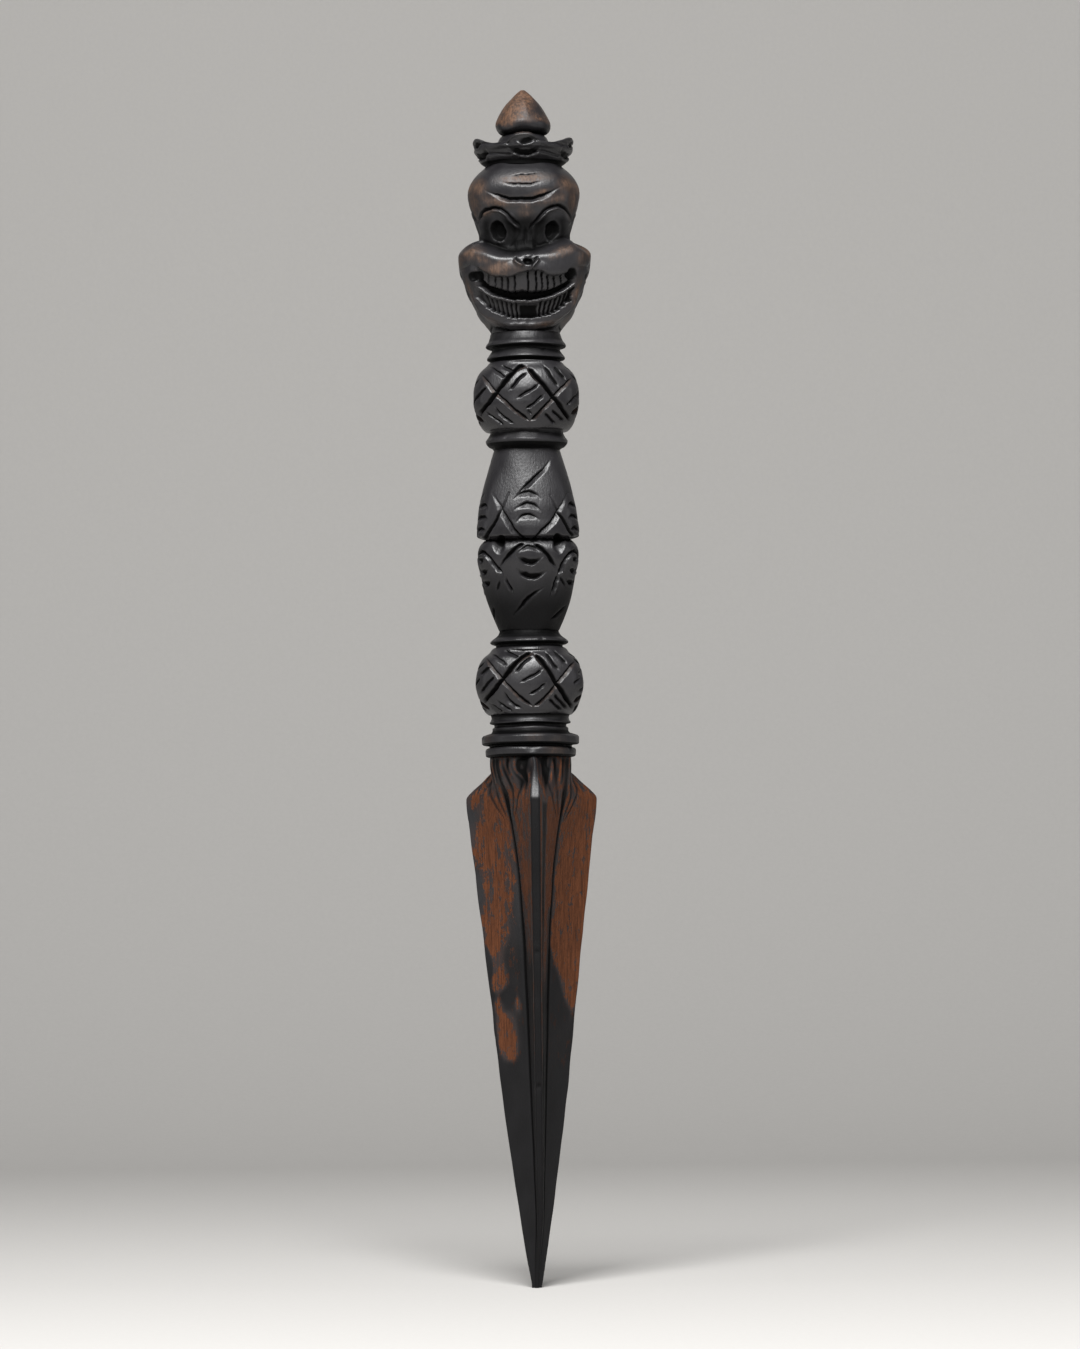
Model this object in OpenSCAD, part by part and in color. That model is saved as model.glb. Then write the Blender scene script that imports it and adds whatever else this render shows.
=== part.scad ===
// Carved wooden phurba: a three-edged ritual dagger, standing tip down on the origin.
// Its front looks along -Y, and the stack of carved sections is pegged together.
// Lengths are in millimetres and angles in degrees.

/* [Blade] */
// Height of the blade from its point to the collar above it
blade_h = 151.2; // [148:0.1:180]
// Height of the shoulders, where the blade is widest
shoulder_z = 139.9; // [115:0.1:141]
// Reach of each edge from the middle at the shoulders
edge_reach = 20.8; // [16:0.1:26]
// Half width of the flat along each edge
edge_half_w = 1.3; // [0.9:0.05:2]
// Radius of the neck above the shoulders
neck_r = 11.7; // [9:0.1:12.4]
// Distance of the flutes' valleys from the middle at the shoulders
valley_r = 8.6; // [6:0.1:10]
// Distance of the valleys from the middle where the flutes run out of the shoulders
waist_valley_r = 4.7; // [4:0.1:5.6]
// Height over which the flutes run out of the shoulders
flute_run = 20; // [14:0.5:26]
// Reach of each edge at the blunt point
point_reach = 1.3; // [1:0.05:2]

/* [Base collar] */
// Height of the ring next to the blade
low_ring_h = 3.3; // [2:0.1:5]
// Radius of the ring next to the blade
low_ring_r = 12.75; // [12.5:0.05:15]
// Height of the cut between the two rings
ring_cut_h = 0.5; // [0.3:0.05:1]
// Height of the larger ring
big_ring_h = 3.1; // [2:0.1:5]
// Radius of the larger ring
big_ring_r = 13.9; // [12.5:0.1:17]
// Height of the waist above the larger ring
base_waist_h = 2.3; // [1.5:0.1:4]
// Radius of that waist
base_waist_r = 11.1; // [9:0.1:11.6]
// Height of the bead under the lower knot
base_bead_h = 2.9; // [2:0.1:4]
// Radius of that bead
base_bead_r = 11.8; // [11.6:0.1:13]

/* [Other collars] */
// Height of the collar between the lower knot and the grip
lower_collar_h = 5; // [4:0.1:8]
// Radius of the lower collar
lower_collar_r = 11.2; // [9.5:0.1:13]
// Height of the collar between the grip and the upper knot
upper_collar_h = 5.3; // [4:0.1:8]
// Radius of the upper collar
upper_collar_r = 11.75; // [10:0.05:14]
// Height of the grooved collar under the head
neck_collar_h = 8.3; // [7:0.1:12]
// Radius of the neck collar
neck_collar_r = 11.4; // [10.5:0.1:13.5]
// Depth of the grooves round the neck collar
ring_groove = 1.2; // [0.6:0.05:1.6]
// Height of each of those grooves
ring_groove_h = 1.3; // [1:0.1:2]

/* [Knots] */
// Height of the lower knot
lower_knot_h = 18.9; // [16:0.1:22]
// Height of the upper knot
upper_knot_h = 19.4; // [16:0.1:22]
// Half width of the knots across their widest part, seen from the front
knot_half_w = 15.4; // [14.8:0.1:17]
// Radius of the knots at their two ends
knot_end_r = 10.9; // [10:0.1:12]
// Depth of the crossing cuts
cut_depth = 1.4; // [0.8:0.05:1.8]
// Width of the crossing cuts at the surface
cut_w = 1.7; // [1:0.05:2.2]
// Distance between the top and bottom ends of a knot's front diamond
diamond_h = 15.4; // [12:0.1:15.8]
// Distance between its two side ends
diamond_w = 15.4; // [12:0.1:18]

/* [Grip] */
// Height of the grip's lower half
grip_lower_h = 25.4; // [22:0.1:32]
// Height of the grip's upper half
grip_upper_h = 26.2; // [22:0.1:32]
// Half width of the grip across its swell, seen from the front
grip_half_w = 14.6; // [13.8:0.1:17]
// Radius of the grip at its narrow ends
grip_end_r = 9.2; // [8.4:0.1:10.5]
// Height of each half's part of the dark groove where the halves meet
grip_groove_h = 0.8; // [0.4:0.05:1.2]
// Depth of that groove
grip_groove = 1.4; // [0.8:0.05:2]
// Distance from that groove to the crossing of the long cuts
cross_z = 8.4; // [7:0.1:10]
// Distance of that crossing from the middle of a side
cross_x = 7.4; // [6.5:0.1:8]
// Lean of the long cuts from the vertical
cross_lean = 32; // [25:1:38]
// Length of the long cuts
cross_len = 17; // [13:0.5:19]
// Distance between the short curved cuts of a medallion
crescent_gap = 2.9; // [2.2:0.1:3.5]
// Width of those cuts across the side
crescent_w = 6.5; // [5:0.1:7.5]
// Height of each of those cuts
crescent_cut = 0.8; // [0.6:0.05:1]

/* [Head] */
// Height of the head from its chin to the crown
head_h = 47.2; // [46:0.1:58]
// Half width of the head across the cheeks, seen from the front
cheek_half_w = 18.9; // [17.4:0.1:21]
// Height of the cheeks above the chin's end
cheek_z = 22.3; // [20.6:0.1:23]
// Half width of the head across the forehead
brow_half_w = 15.7; // [14:0.1:17.5]
// Height of the widest forehead
brow_z = 39; // [38:0.1:41]
// Half width of the head across the eyes
eye_half_w = 12.5; // [11.8:0.1:13.5]
// Height of the eyes
eye_z = 28.4; // [27.8:0.1:30]
// Distance of each eye from the middle of the face
eye_x = 7.5; // [6.5:0.1:8]
// Radius of the eye holes
eye_r = 2.4; // [1.8:0.1:2.8]
// Radius of the head's two ends
head_end_r = 10.7; // [9.8:0.1:11.4]
// Depth of the open mouth
mouth_depth = 2.6; // [1.8:0.1:3.2]
// Depth of the furrows, of the brow lines and of the teeth behind the lips
line_depth = 0.9; // [0.6:0.05:1.2]
// Width of the furrows and brow lines
furrow_w = 1.1; // [0.8:0.05:1.6]
// Height of the mouth's top edge
mouth_z = 16.6; // [16:0.1:17.4]
// Half width of the mouth
mouth_half_w = 13; // [11:0.1:14]
// Height of the mouth from its top edge to the bottom of the lower teeth
mouth_h = 12.6; // [11:0.1:13]
// Length of the upper teeth
upper_teeth_h = 4.9; // [4:0.1:5.4]
// Height of the gap between the two rows of teeth, at the middle
mouth_gap = 2.4; // [1.6:0.1:3]
// Teeth in each row of one mouth
teeth = 12; // [8:2:14]
// Radius of each wing of the nose
nose_wing_r = 2.1; // [1.8:0.1:2.4]
// Width of the slits between the teeth
tooth_slit_w = 0.4; // [0.3:0.05:0.5]

/* [Crown and finial] */
// Height of the crown from the head to its leaf tips
crown_h = 8.4; // [7.5:0.1:12]
// Radius of the crown at its leaf tips
crown_r = 14.6; // [13:0.1:17]
// Radius of the crown's foot
crown_foot_r = 10.9; // [9.6:0.1:12]
// Number of leaves
leaves = 5; // [4:1:7]
// Depth of the dips between the leaves
leaf_dip = 3; // [2:0.1:3.6]
// Thickness of the leaves
leaf_t = 1.8; // [1.2:0.1:2.6]
// Thickness of the crown's floor
crown_floor = 3.2; // [2:0.1:4]
// Height of the jewel above the leaf tips
jewel_h = 14; // [12:0.1:16]
// Radius of the jewel
jewel_r = 7.9; // [6.8:0.1:9.4]
// Height of the jewel's underside above the leaf tips
jewel_lift = 1.2; // [0.6:0.1:2]
// Height from the jewel's underside to its widest part
jewel_wide_h = 2.8; // [2.2:0.1:3.6]
// Radius of the jewel's stem
stem_r = 4.6; // [3.8:0.1:6]

/* [Pegs] */
// Radius of the pegs that join the sections
peg_r = 4.5; // [3.6:0.1:5.2]
// Radius of the finial's peg
finial_peg_r = 2.8; // [2.2:0.1:3.4]
// Depth that each peg reaches into the section that holds it
peg_grip = 9; // [6:0.1:11]
// Clearance round each peg
peg_fit = 0.1; // [0.05:0.01:0.2]
// Space past the end of each peg
peg_end_gap = 0.5; // [0.3:0.1:1]

/* [Hidden] */
round_fn = 96;
eps = 0.01;
stain = [0.17, 0.16, 0.17];
worn = [0.45, 0.24, 0.13];
sides = [0, 120, 240];

// Heights of the seats, counted up from the point
base_collar_h = low_ring_h + ring_cut_h + big_ring_h + base_waist_h + base_bead_h;
base_collar_z = blade_h;
lower_knot_z = base_collar_z + base_collar_h;
lower_collar_z = lower_knot_z + lower_knot_h;
grip_lower_z = lower_collar_z + lower_collar_h;
grip_upper_z = grip_lower_z + grip_lower_h;
upper_collar_z = grip_upper_z + grip_upper_h;
upper_knot_z = upper_collar_z + upper_collar_h;
neck_collar_z = upper_knot_z + upper_knot_h;
head_z = neck_collar_z + neck_collar_h;
crown_z = head_z + head_h;

// Knots, grip and head are three-sided: each side is turned about its own axis, which lies
// side_back behind the middle. A side's face is side_flat nearer to the middle than half the
// width seen from the front, and the corners stand out beyond that half width.
side_back = 13.6;
side_flat = side_back * (1 - cos(30));
corner_swell = 0.08;
function side_face(w) = w - side_flat;
function side_corner(w) = w * (1 + corner_swell);

// PEGS
// Peg standing on a section at z, through a ring of height ring_h
module peg(z, ring_h)
    translate([0, 0, z - 1])
        cylinder(r = peg_r, h = 1 + ring_h + peg_grip - peg_end_gap, $fn = round_fn);

// Hole of length h up from z, with its clearance
module peg_hole(z, h, r = peg_r)
    translate([0, 0, z - eps])
        cylinder(r = r + peg_fit, h = h + eps, $fn = round_fn);

// Ring with a through hole, turned from [height, radius] pairs
module ring(z, h, pairs)
    difference() {
        translate([0, 0, z])
            turned(pairs);
        peg_hole(z, h + eps);
    }

// CURVES
function smooth(t) = t * t * (3 - 2 * t);

// Value at x on the smooth curve through [x, value] points that rise in x
function curve_at(points, x, i = 0) =
    i >= len(points) - 2 || x <= points[i + 1].x
        ? let (a = points[i], b = points[i + 1], t = (x - a.x) / (b.x - a.x))
            a.y + (b.y - a.y) * smooth(min(max(t, 0), 1))
        : curve_at(points, x, i + 1);

// Bowed line over a height of h, from end_r at both ends to mid_r half way up
function swell(z, h, end_r, mid_r) = end_r + (mid_r - end_r) * sin(180 * min(max(z / h, 0), 1));

// Solid turned about the Z axis from [height, radius] pairs
module turned(pairs)
    rotate_extrude($fn = round_fn)
        polygon(concat([[0, pairs[0].x]], [for (p = pairs) [p.y, p.x]],
            [[0, pairs[len(pairs) - 1].x]]));

// How far a three-sided solid of height h has gone from its round ends to its full shape at z
function fullness(z, h) = sqrt(sin(180 * min(max(z / h, 0), 1)));

// Side a of a three-sided solid as a solid of its own, set in from the surface. The function w
// gives the half width, seen from the front, at a height.
module side_wall(a, h, steps, w, inset = 0)
    rotate([0, 0, a])
        translate([0, side_back, 0])
            turned([for (i = [-1:steps])
                let (z = (i + 0.4) * h / steps)
                [z, w(z) - side_flat * fullness(z, h) + side_back - inset]]);

module three_sided(h, steps, w)
    intersection() {
        turned([for (i = [0:steps])
            let (z = i * h / steps)
            [z, w(z) * (1 + corner_swell * fullness(z, h))]]);
        side_wall(sides[0], h, steps, w);
        side_wall(sides[1], h, steps, w);
        side_wall(sides[2], h, steps, w);
    }

// CUTS
// Straight V cut across a side: x across and z up from the part's foot, at radius r from the
// side's own axis, leaning from the vertical, on a wall that slopes out by slope degrees
module slash(a, x, z, r, lean, length, slope) {
    out = 3;
    spread = cut_w / 2 * (cut_depth + out) / cut_depth;
    rotate([0, 0, a])
        translate([0, side_back, 0])
            rotate([0, 0, asin(x / r)])
                translate([0, -r + cut_depth, z])
                    rotate([slope, 0, 0])
                        rotate([0, lean, 0])
                            translate([0, 0, -length / 2])
                                linear_extrude(length)
                                    polygon([[0, 0], [-spread, -cut_depth - out],
                                    [spread, -cut_depth - out]]);
}

// KNOTS
// One long cut of a knot: a V ring in a leaning plane, kept to one side of the knot
module knot_cut(lean, up, ring_r) {
    out = 3;
    spread = cut_w / 2 * (cut_depth + out) / cut_depth;
    intersection() {
        rotate([0, lean, 0])
            translate([0, 0, up])
                rotate_extrude($fn = round_fn)
                    polygon([[ring_r - cut_depth, 0], [ring_r + out, spread], [ring_r + out, -spread]]);
        rotate([0, 0, -150])
            rotate_extrude(angle = 120, $fn = round_fn)
                translate([1, -knot_half_w])
                    square([2 * knot_half_w, 2 * knot_half_w]);
    }
}

module knot(z, h, ring_h) {
    lean = atan(diamond_h / diamond_w);
    up = diamond_h / 2 * cos(lean);
    ring_r = sqrt(pow(side_face(knot_half_w) + 0.5, 2) - up * up);
    translate([0, 0, z])
        difference() {
            union() {
                three_sided(h, 8, function (z) swell(z, h, knot_end_r, knot_half_w));
                peg(h, ring_h);
            }
            peg_hole(0, peg_grip);
            for (a = sides)
                translate([0, 0, h / 2])
                    rotate([0, 0, a])
                        for (tip = [-1, 1], way = [-1, 1])
                            knot_cut(way * lean, tip * up, ring_r);
        }
}

module lower_knot()
    color(stain)
        knot(lower_knot_z, lower_knot_h, lower_collar_h);

module upper_knot()
    color(stain)
        knot(upper_knot_z, upper_knot_h, neck_collar_h);

// GRIP
// Half of the grip with its swell at the foot. It stands on z = 0 and is h high.
module grip_half(h)
    difference() {
        union() {
            difference() {
                translate([0, 0, -h])
                    three_sided(2 * h, 18, function (z) swell(z, 2 * h, grip_end_r, grip_half_w));
                translate([0, 0, -2 * h])
                    cylinder(r = 2 * grip_half_w, h = 2 * h + grip_groove_h, $fn = round_fn);
            }
            cylinder(r = side_face(grip_half_w) - grip_groove, h = 2 * grip_groove_h, $fn = round_fn);
        }
        for (a = [0:60:300])
            medallion(a, h);
    }

// Short curved cuts up the middle of a side or a corner, and on a side the crossing long cuts
// to their left and right
module medallion(a, h) {
    on_side = a % 120 == 0;
    face = side_face(swell(h + cross_z, 2 * h, grip_end_r, grip_half_w)) + side_back;
    slope = atan((grip_half_w - grip_end_r) * sin(90 * cross_z / h) * PI / (2 * h));
    if (on_side)
        for (way = [-1, 1], lean = [-cross_lean, cross_lean])
            slash(a, way * cross_x, cross_z, face, lean, cross_len, slope);
    for (i = [-1:1])
        rotate([0, 0, a])
            translate([0, 0, cross_z + i * crescent_gap])
                crescent(on_side ? side_face(grip_half_w) : side_corner(grip_half_w));
}

// Short curved cut across the middle of a side or a corner whose face lies out at reach
module crescent(reach) {
    depth = 0.9;
    r = (crescent_w * crescent_w / 4 + depth * depth) / (2 * depth);
    edge = r - crescent_cut;
    translate([0, -reach + depth - r, 0])
        rotate_extrude($fn = round_fn)
            polygon([[0, -crescent_cut / 2], [edge, -crescent_cut / 2], [r, 0],
                [edge, crescent_cut / 2], [0, crescent_cut / 2]]);
}

module grip_upper()
    color(stain)
        difference() {
            translate([0, 0, grip_upper_z])
                union() {
                    grip_half(grip_upper_h);
                    peg(grip_upper_h, upper_collar_h);
                }
            peg_hole(grip_upper_z, peg_grip);
        }

module grip_lower()
    color(stain)
        difference() {
            translate([0, 0, grip_lower_z])
                union() {
                    translate([0, 0, grip_lower_h])
                        rotate([0, 180, 0])
                            grip_half(grip_lower_h);
                    peg(grip_lower_h, 0);
                }
            peg_hole(grip_lower_z, peg_grip);
        }

// COLLARS
module base_collar() {
    low = low_ring_h;
    big = low + ring_cut_h;
    waist = big + big_ring_h;
    bead = waist + base_waist_h;
    soft = 0.4;
    color(stain)
        ring(base_collar_z, base_collar_h, [
            [0, low_ring_r - 3 * soft], [2 * soft, low_ring_r - soft], [low - soft, low_ring_r],
            [low, low_ring_r - soft], [low, neck_r], [big, neck_r],
            [big, big_ring_r - soft], [big + soft, big_ring_r], [waist - soft, big_ring_r - soft / 2],
            [waist, big_ring_r - 2 * soft], [waist + soft, base_waist_r], [bead, base_waist_r],
            [bead + soft, base_bead_r], [bead + base_bead_h / 2, base_bead_r],
            [base_collar_h, knot_end_r]]);
}

module lower_collar() {
    h = lower_collar_h;
    color(stain)
        ring(lower_collar_z, h, [
            [0, knot_end_r], [0.15 * h, lower_collar_r], [0.2 * h, lower_collar_r - 0.8],
            [0.36 * h, lower_collar_r - 0.8], [0.42 * h, lower_collar_r], [0.6 * h, lower_collar_r],
            [0.8 * h, (lower_collar_r + grip_end_r) / 2], [h, grip_end_r]]);
}

module upper_collar() {
    h = upper_collar_h;
    color(stain)
        ring(upper_collar_z, h, [
            [0, grip_end_r], [0.14 * h, upper_collar_r - 0.9], [0.28 * h, upper_collar_r - 0.1],
            [0.42 * h, upper_collar_r], [0.56 * h, upper_collar_r - 0.5],
            [0.8 * h, knot_end_r - 0.4], [h, knot_end_r]]);
}

module neck_collar() {
    h = neck_collar_h;
    r = neck_collar_r;
    high = 0.45 * h;
    soft = 0.3;
    color(stain)
        ring(neck_collar_z, h, [
            [0, r - ring_groove], [ring_groove_h, r - ring_groove], [ring_groove_h, r - soft],
            [ring_groove_h + soft, r], [high - soft, r], [high, r - soft],
            [high, r - ring_groove], [high + ring_groove_h, r - ring_groove],
            [high + ring_groove_h, r - soft], [high + ring_groove_h + soft, r],
            [h - 2 * soft, head_end_r], [h, head_end_r - 2 * soft]]);
}

// HEAD
// Half width of the head at height z above its foot, seen from the front
head_curve = [[-1, head_end_r - 0.2], [1, head_end_r],
    [0.43 * cheek_z, (head_end_r + cheek_half_w) / 2], [cheek_z, cheek_half_w],
    [eye_z - 1.4, eye_half_w - 0.2], [eye_z + 1, eye_half_w + 0.2],
    [brow_z, brow_half_w], [head_h - 1, head_end_r], [head_h + 1, head_end_r - 0.2]];
head_steps = 26;
function head_w(z) = curve_at(head_curve, z);

// Cuts whatever is drawn on a face, x across and y up, to an even depth on all three faces
module engraved(depth)
    for (a = sides)
        rotate([0, 0, a])
            difference() {
                translate([0, -4, 0])
                    rotate([90, 0, 0])
                        linear_extrude(cheek_half_w)
                            children();
                side_wall(0, head_h, head_steps, function (z) head_w(z), depth);
            }

// Arc line of width w, centred on (x, y), kept inside half_w of its centre and above or below it
module arc_line(x, y, r, w, half_w, up)
    translate([x, y])
        intersection() {
            difference() {
                circle(r = r + w / 2, $fn = round_fn);
                circle(r = r - w / 2, $fn = round_fn);
            }
            translate([-half_w, up ? 0.15 * r : -r - w])
                square([2 * half_w, up ? r + w : 0.85 * r + w]);
        }

// Open mouth down to h below its top edge: flat above, a full curve below
module mouth_outline(h) {
    r = (mouth_half_w * mouth_half_w + h * h) / (2 * h);
    intersection() {
        translate([0, mouth_z - h + r])
            circle(r = r, $fn = round_fn);
        translate([-mouth_half_w, mouth_z - h - 1])
            square([2 * mouth_half_w, h + 1]);
    }
}

// Furrows of the forehead, the brows and the fold above the upper lip
module face_lines() {
    furrow_r = 1.25 * brow_half_w;
    brow_r = 0.84 * eye_x;
    fold_r = 1.5 * cheek_half_w;
    arc_line(0, brow_z - 2 * furrow_w + furrow_r, furrow_r, furrow_w, 0.66 * brow_half_w, false);
    for (line = [1, 2])
        translate([-brow_half_w / (2 + line), brow_z + 2.2 * line * furrow_w])
            square([2 * brow_half_w / (2 + line), 0.8 * furrow_w]);
    for (way = [-1, 1])
        arc_line(way * 0.88 * eye_x, eye_z + 1, brow_r, furrow_w, 0.98 * brow_r, true);
    arc_line(0, cheek_z + 0.4 + fold_r, fold_r, furrow_w, 0.7 * cheek_half_w, false);
}

// Dark curve between the two rows of teeth
module tooth_gap() {
    r = 1.4 * mouth_half_w;
    arc_line(0, mouth_z - upper_teeth_h - mouth_gap / 2 + r, r, mouth_gap, mouth_half_w - 1.5, false);
}

// Slits between the teeth
module tooth_slits() {
    pitch = 2 * (mouth_half_w - 1) / teeth;
    short = 0.2;
    for (i = [1 - teeth / 2:teeth / 2 - 1])
        let (rise = mouth_h * pow(i * 2 / teeth, 2))
            translate([i * pitch - tooth_slit_w / 2, mouth_z - mouth_h + rise])
                square([tooth_slit_w, mouth_h - rise - short]);
}

// Hollow round an eye, with the pierced pupil
module eye_cut(way) {
    face = side_face(eye_half_w) + side_back;
    hollow = 2;
    hole = 4;
    translate([0, side_back, eye_z])
        rotate([0, 0, way * asin(eye_x / face)])
            translate([0, -face, 0])
                rotate([-90, 0, 0])
                    translate([0, 0, -hollow]) {
                        cylinder(r1 = 2.6 * eye_r, r2 = eye_r, h = 2 * hollow, $fn = round_fn);
                        cylinder(r = eye_r, h = hollow + hole, $fn = round_fn);
                    }
}

// The two wings of a nose
module nose() {
    sink = 0.3 * nose_wing_r;
    nose_z = cheek_z - 0.8 * nose_wing_r;
    for (way = [-1, 1])
        translate([way * 0.75 * nose_wing_r, sink - side_face(head_w(nose_z)), nose_z])
            sphere(r = nose_wing_r, $fn = round_fn / 2);
}

module head()
    color(stain)
        translate([0, 0, head_z])
            difference() {
                union() {
                    difference() {
                        three_sided(head_h, head_steps, function (z) head_w(z));
                        engraved(line_depth) {
                            face_lines();
                            mouth_outline(mouth_h);
                        }
                        engraved(mouth_depth)
                            tooth_gap();
                        engraved(2 * line_depth)
                            tooth_slits();
                    }
                    for (a = sides)
                        rotate([0, 0, a])
                            nose();
                }
                for (a = sides, way = [-1, 1])
                    rotate([0, 0, a])
                        eye_cut(way);
                peg_hole(0, peg_grip);
                translate([0, 0, head_h - peg_grip])
                    cylinder(r = finial_peg_r + peg_fit, h = peg_grip + eps, $fn = round_fn);
            }

// CROWN AND FINIAL
module crown() {
    flare = crown_r - crown_foot_r;
    chord = 2 * crown_r * sin(180 / leaves);
    dip_r = (chord * chord / 4 + leaf_dip * leaf_dip) / (2 * leaf_dip);
    wall = [for (i = [0:6]) let (t = i / 6) [t * crown_h, crown_foot_r + flare * pow(t, 1.6)]];
    hollow = [for (i = [0:6])
        let (t = i / 6, z = crown_floor + t * (crown_h + eps - crown_floor))
        [z, curve_at(wall, z) - leaf_t]];
    color(stain)
        translate([0, 0, crown_z])
            difference() {
                turned(wall);
                turned(hollow);
                peg_hole(0, crown_floor + eps, finial_peg_r);
                for (i = [0:leaves - 1])
                    rotate([0, 0, (i + 0.5) * 360 / leaves])
                        translate([0, 0, crown_h - leaf_dip + dip_r])
                            rotate([90, 0, 0])
                                cylinder(r = dip_r, h = 2 * crown_r, $fn = round_fn);
            }
}

// Jewel on a stem that stands on the crown's floor, pinned down into the head
module finial() {
    tips = crown_h - crown_floor;
    under = tips + jewel_lift;
    wide = under + jewel_wide_h;
    top = tips + jewel_h;
    drop = crown_floor + peg_grip - peg_end_gap;
    foot_flare = 0.5;
    color(worn)
        translate([0, 0, crown_z + crown_floor]) {
            turned(concat([[0, stem_r + foot_flare], [foot_flare, stem_r], [tips, stem_r],
                [under, 0.76 * jewel_r], [(under + wide) / 2, 0.94 * jewel_r]],
                [for (i = [0:8])
                    let (t = i / 8)
                    [wide + t * (top - wide), jewel_r * (0.02 + 0.98 * pow(cos(90 * t), 1.2))]]));
            translate([0, 0, -drop])
                cylinder(r = finial_peg_r, h = drop + 1, $fn = round_fn);
        }
}

// BLADE
// Heights of the blade's cross sections, up to the shoulders and over them
level_shares = [0, 0.03, 0.08, 0.2, 0.38, 0.6, 0.78, 0.86, 0.91, 0.95, 0.98, 1];
slope_shares = [0.35, 0.7, 1];
blade_levels = concat([for (s = level_shares) s * shoulder_z],
    [for (s = slope_shares) shoulder_z + s * (blade_h - shoulder_z)]);
flute_steps = 5;

// Share of the way from the shoulders to the collar
function neck_share(z) = max(z - shoulder_z, 0) / (blade_h - shoulder_z);

// Reach of an edge at height z: a taper that bows out a little, then the sloped shoulder
function reach_at(z) = z <= shoulder_z
    ? point_reach + (edge_reach - point_reach) * pow(z / shoulder_z, 0.86)
    : max(neck_r, edge_reach - (edge_reach - neck_r) * neck_share(z) / 0.7);

// Distance of a flute's valley from the middle at height z
function valley_at(z) =
    let (point = 0.45 * point_reach, run_z = shoulder_z - flute_run)
    z <= run_z ? point + (waist_valley_r - point) * z / run_z
    : z <= shoulder_z
        ? waist_valley_r + (valley_r - waist_valley_r) * pow((z - run_z) / flute_run, 1.8)
    : valley_r + (0.95 * neck_r - valley_r) * smooth(neck_share(z));

// Half width of the flat along an edge at height z
function flat_at(z) = min(0.5 * reach_at(z),
    edge_half_w * (z <= shoulder_z ? 0.45 + 0.55 * z / shoulder_z : 1 - 0.7 * neck_share(z)));

// One side of an edge at height z, from its flat down to the valley, as [along, across] points
function flute(z) =
    let (reach = reach_at(z), valley = valley_at(z), flat = flat_at(z))
    [for (i = [0:flute_steps])
        let (s = i / flute_steps)
        [reach + (valley * cos(60) - reach) * s, flat + (valley * sin(60) - flat) * pow(s, 1.5)]];

// Point of an edge turned to angle a from the front, at height z
function turn_point(p, a, z) =
    [p.x * sin(a) + p.y * cos(a), -p.x * cos(a) + p.y * sin(a), z];

// Cross section of the blade at height z, counted round from the front edge
function blade_ring(z) =
    let (side = flute(z))
    [for (a = sides)
        each concat(
            [for (i = [flute_steps - 1:-1:0]) turn_point([side[i].x, -side[i].y], a, z)],
            [for (i = [0:flute_steps]) turn_point(side[i], a, z)])];

module blade() {
    rings = [for (z = blade_levels) blade_ring(z)];
    n = len(rings[0]);
    last = len(rings) - 1;
    walls = [for (k = [0:last - 1], i = [0:n - 1])
        let (a = k * n + i, b = k * n + (i + 1) % n)
        each [[a, a + n, b], [b, a + n, b + n]]];
    foot = [for (i = [0:n - 1]) i];
    top = [for (i = [n - 1:-1:0]) last * n + i];
    color(worn)
        union() {
            polyhedron(points = [for (r = rings) each r], faces = concat(walls, [foot, top]));
            peg(base_collar_z, base_collar_h);
        }
}

blade();
base_collar();
lower_knot();
lower_collar();
grip_lower();
grip_upper();
upper_collar();
upper_knot();
neck_collar();
head();
crown();
finial();
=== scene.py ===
import math

import bmesh
import bpy
import numpy as np
from mathutils import Matrix
from bpy.props import FloatProperty, FloatVectorProperty, PointerProperty


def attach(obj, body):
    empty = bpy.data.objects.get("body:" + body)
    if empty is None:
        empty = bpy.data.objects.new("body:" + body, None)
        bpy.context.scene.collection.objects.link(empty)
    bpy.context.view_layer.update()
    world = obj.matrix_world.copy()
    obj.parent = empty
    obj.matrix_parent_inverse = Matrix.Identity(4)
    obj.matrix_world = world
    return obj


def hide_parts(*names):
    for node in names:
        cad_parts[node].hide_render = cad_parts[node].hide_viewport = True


bl_info = {
    "name": "Carved phurba",
    "version": (1, 0, 0),
    "blender": (4, 5, 0),
    "location": "3D View > Sidebar > Phurba",
    "description": "Carves the twelve sections of a stained wooden phurba over its frame",
    "category": "Add Mesh",
}

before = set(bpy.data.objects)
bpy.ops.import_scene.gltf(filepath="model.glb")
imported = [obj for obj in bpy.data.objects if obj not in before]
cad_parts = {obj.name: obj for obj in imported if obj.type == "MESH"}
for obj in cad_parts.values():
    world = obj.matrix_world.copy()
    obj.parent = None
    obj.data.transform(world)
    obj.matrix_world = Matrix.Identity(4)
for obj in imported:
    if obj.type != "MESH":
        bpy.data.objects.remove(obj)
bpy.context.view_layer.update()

# Carving is worked out in millimetres. Blender gets metres.
MM = 0.001
TURN = 2 * math.pi

# The camera's distance and height. What is carved on a side was measured as it is seen from
# there: u to the right and z up, in millimetres.
VIEW_AWAY = 1600.0
VIEW_HEIGHT = 97.0
SIDES = (0.0, TURN / 3, -TURN / 3)
CORNERS = (TURN / 6, -TURN / 6, TURN / 2)

# The section rule of the CAD model's three-sided solids
SIDE_BACK = 13.6
SIDE_FLAT = SIDE_BACK * (1 - math.cos(math.radians(30)))
CORNER_SWELL = 0.08
# No carved section stands out past this to the left or right
WIDEST = 18.9


# CURVES

def smooth(t):
    """0 to 1 with a soft start and end."""
    t = np.clip(t, 0.0, 1.0)
    return t * t * (3 - 2 * t)


def step_at(x, soft):
    """Goes from 0 to 1 as x passes 0, over a width of soft."""
    return smooth(x / soft + 0.5)


def bump(x, width):
    """1 where x is 0, falling off softly over about a width."""
    return np.exp(-(x / width) ** 2)


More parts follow.
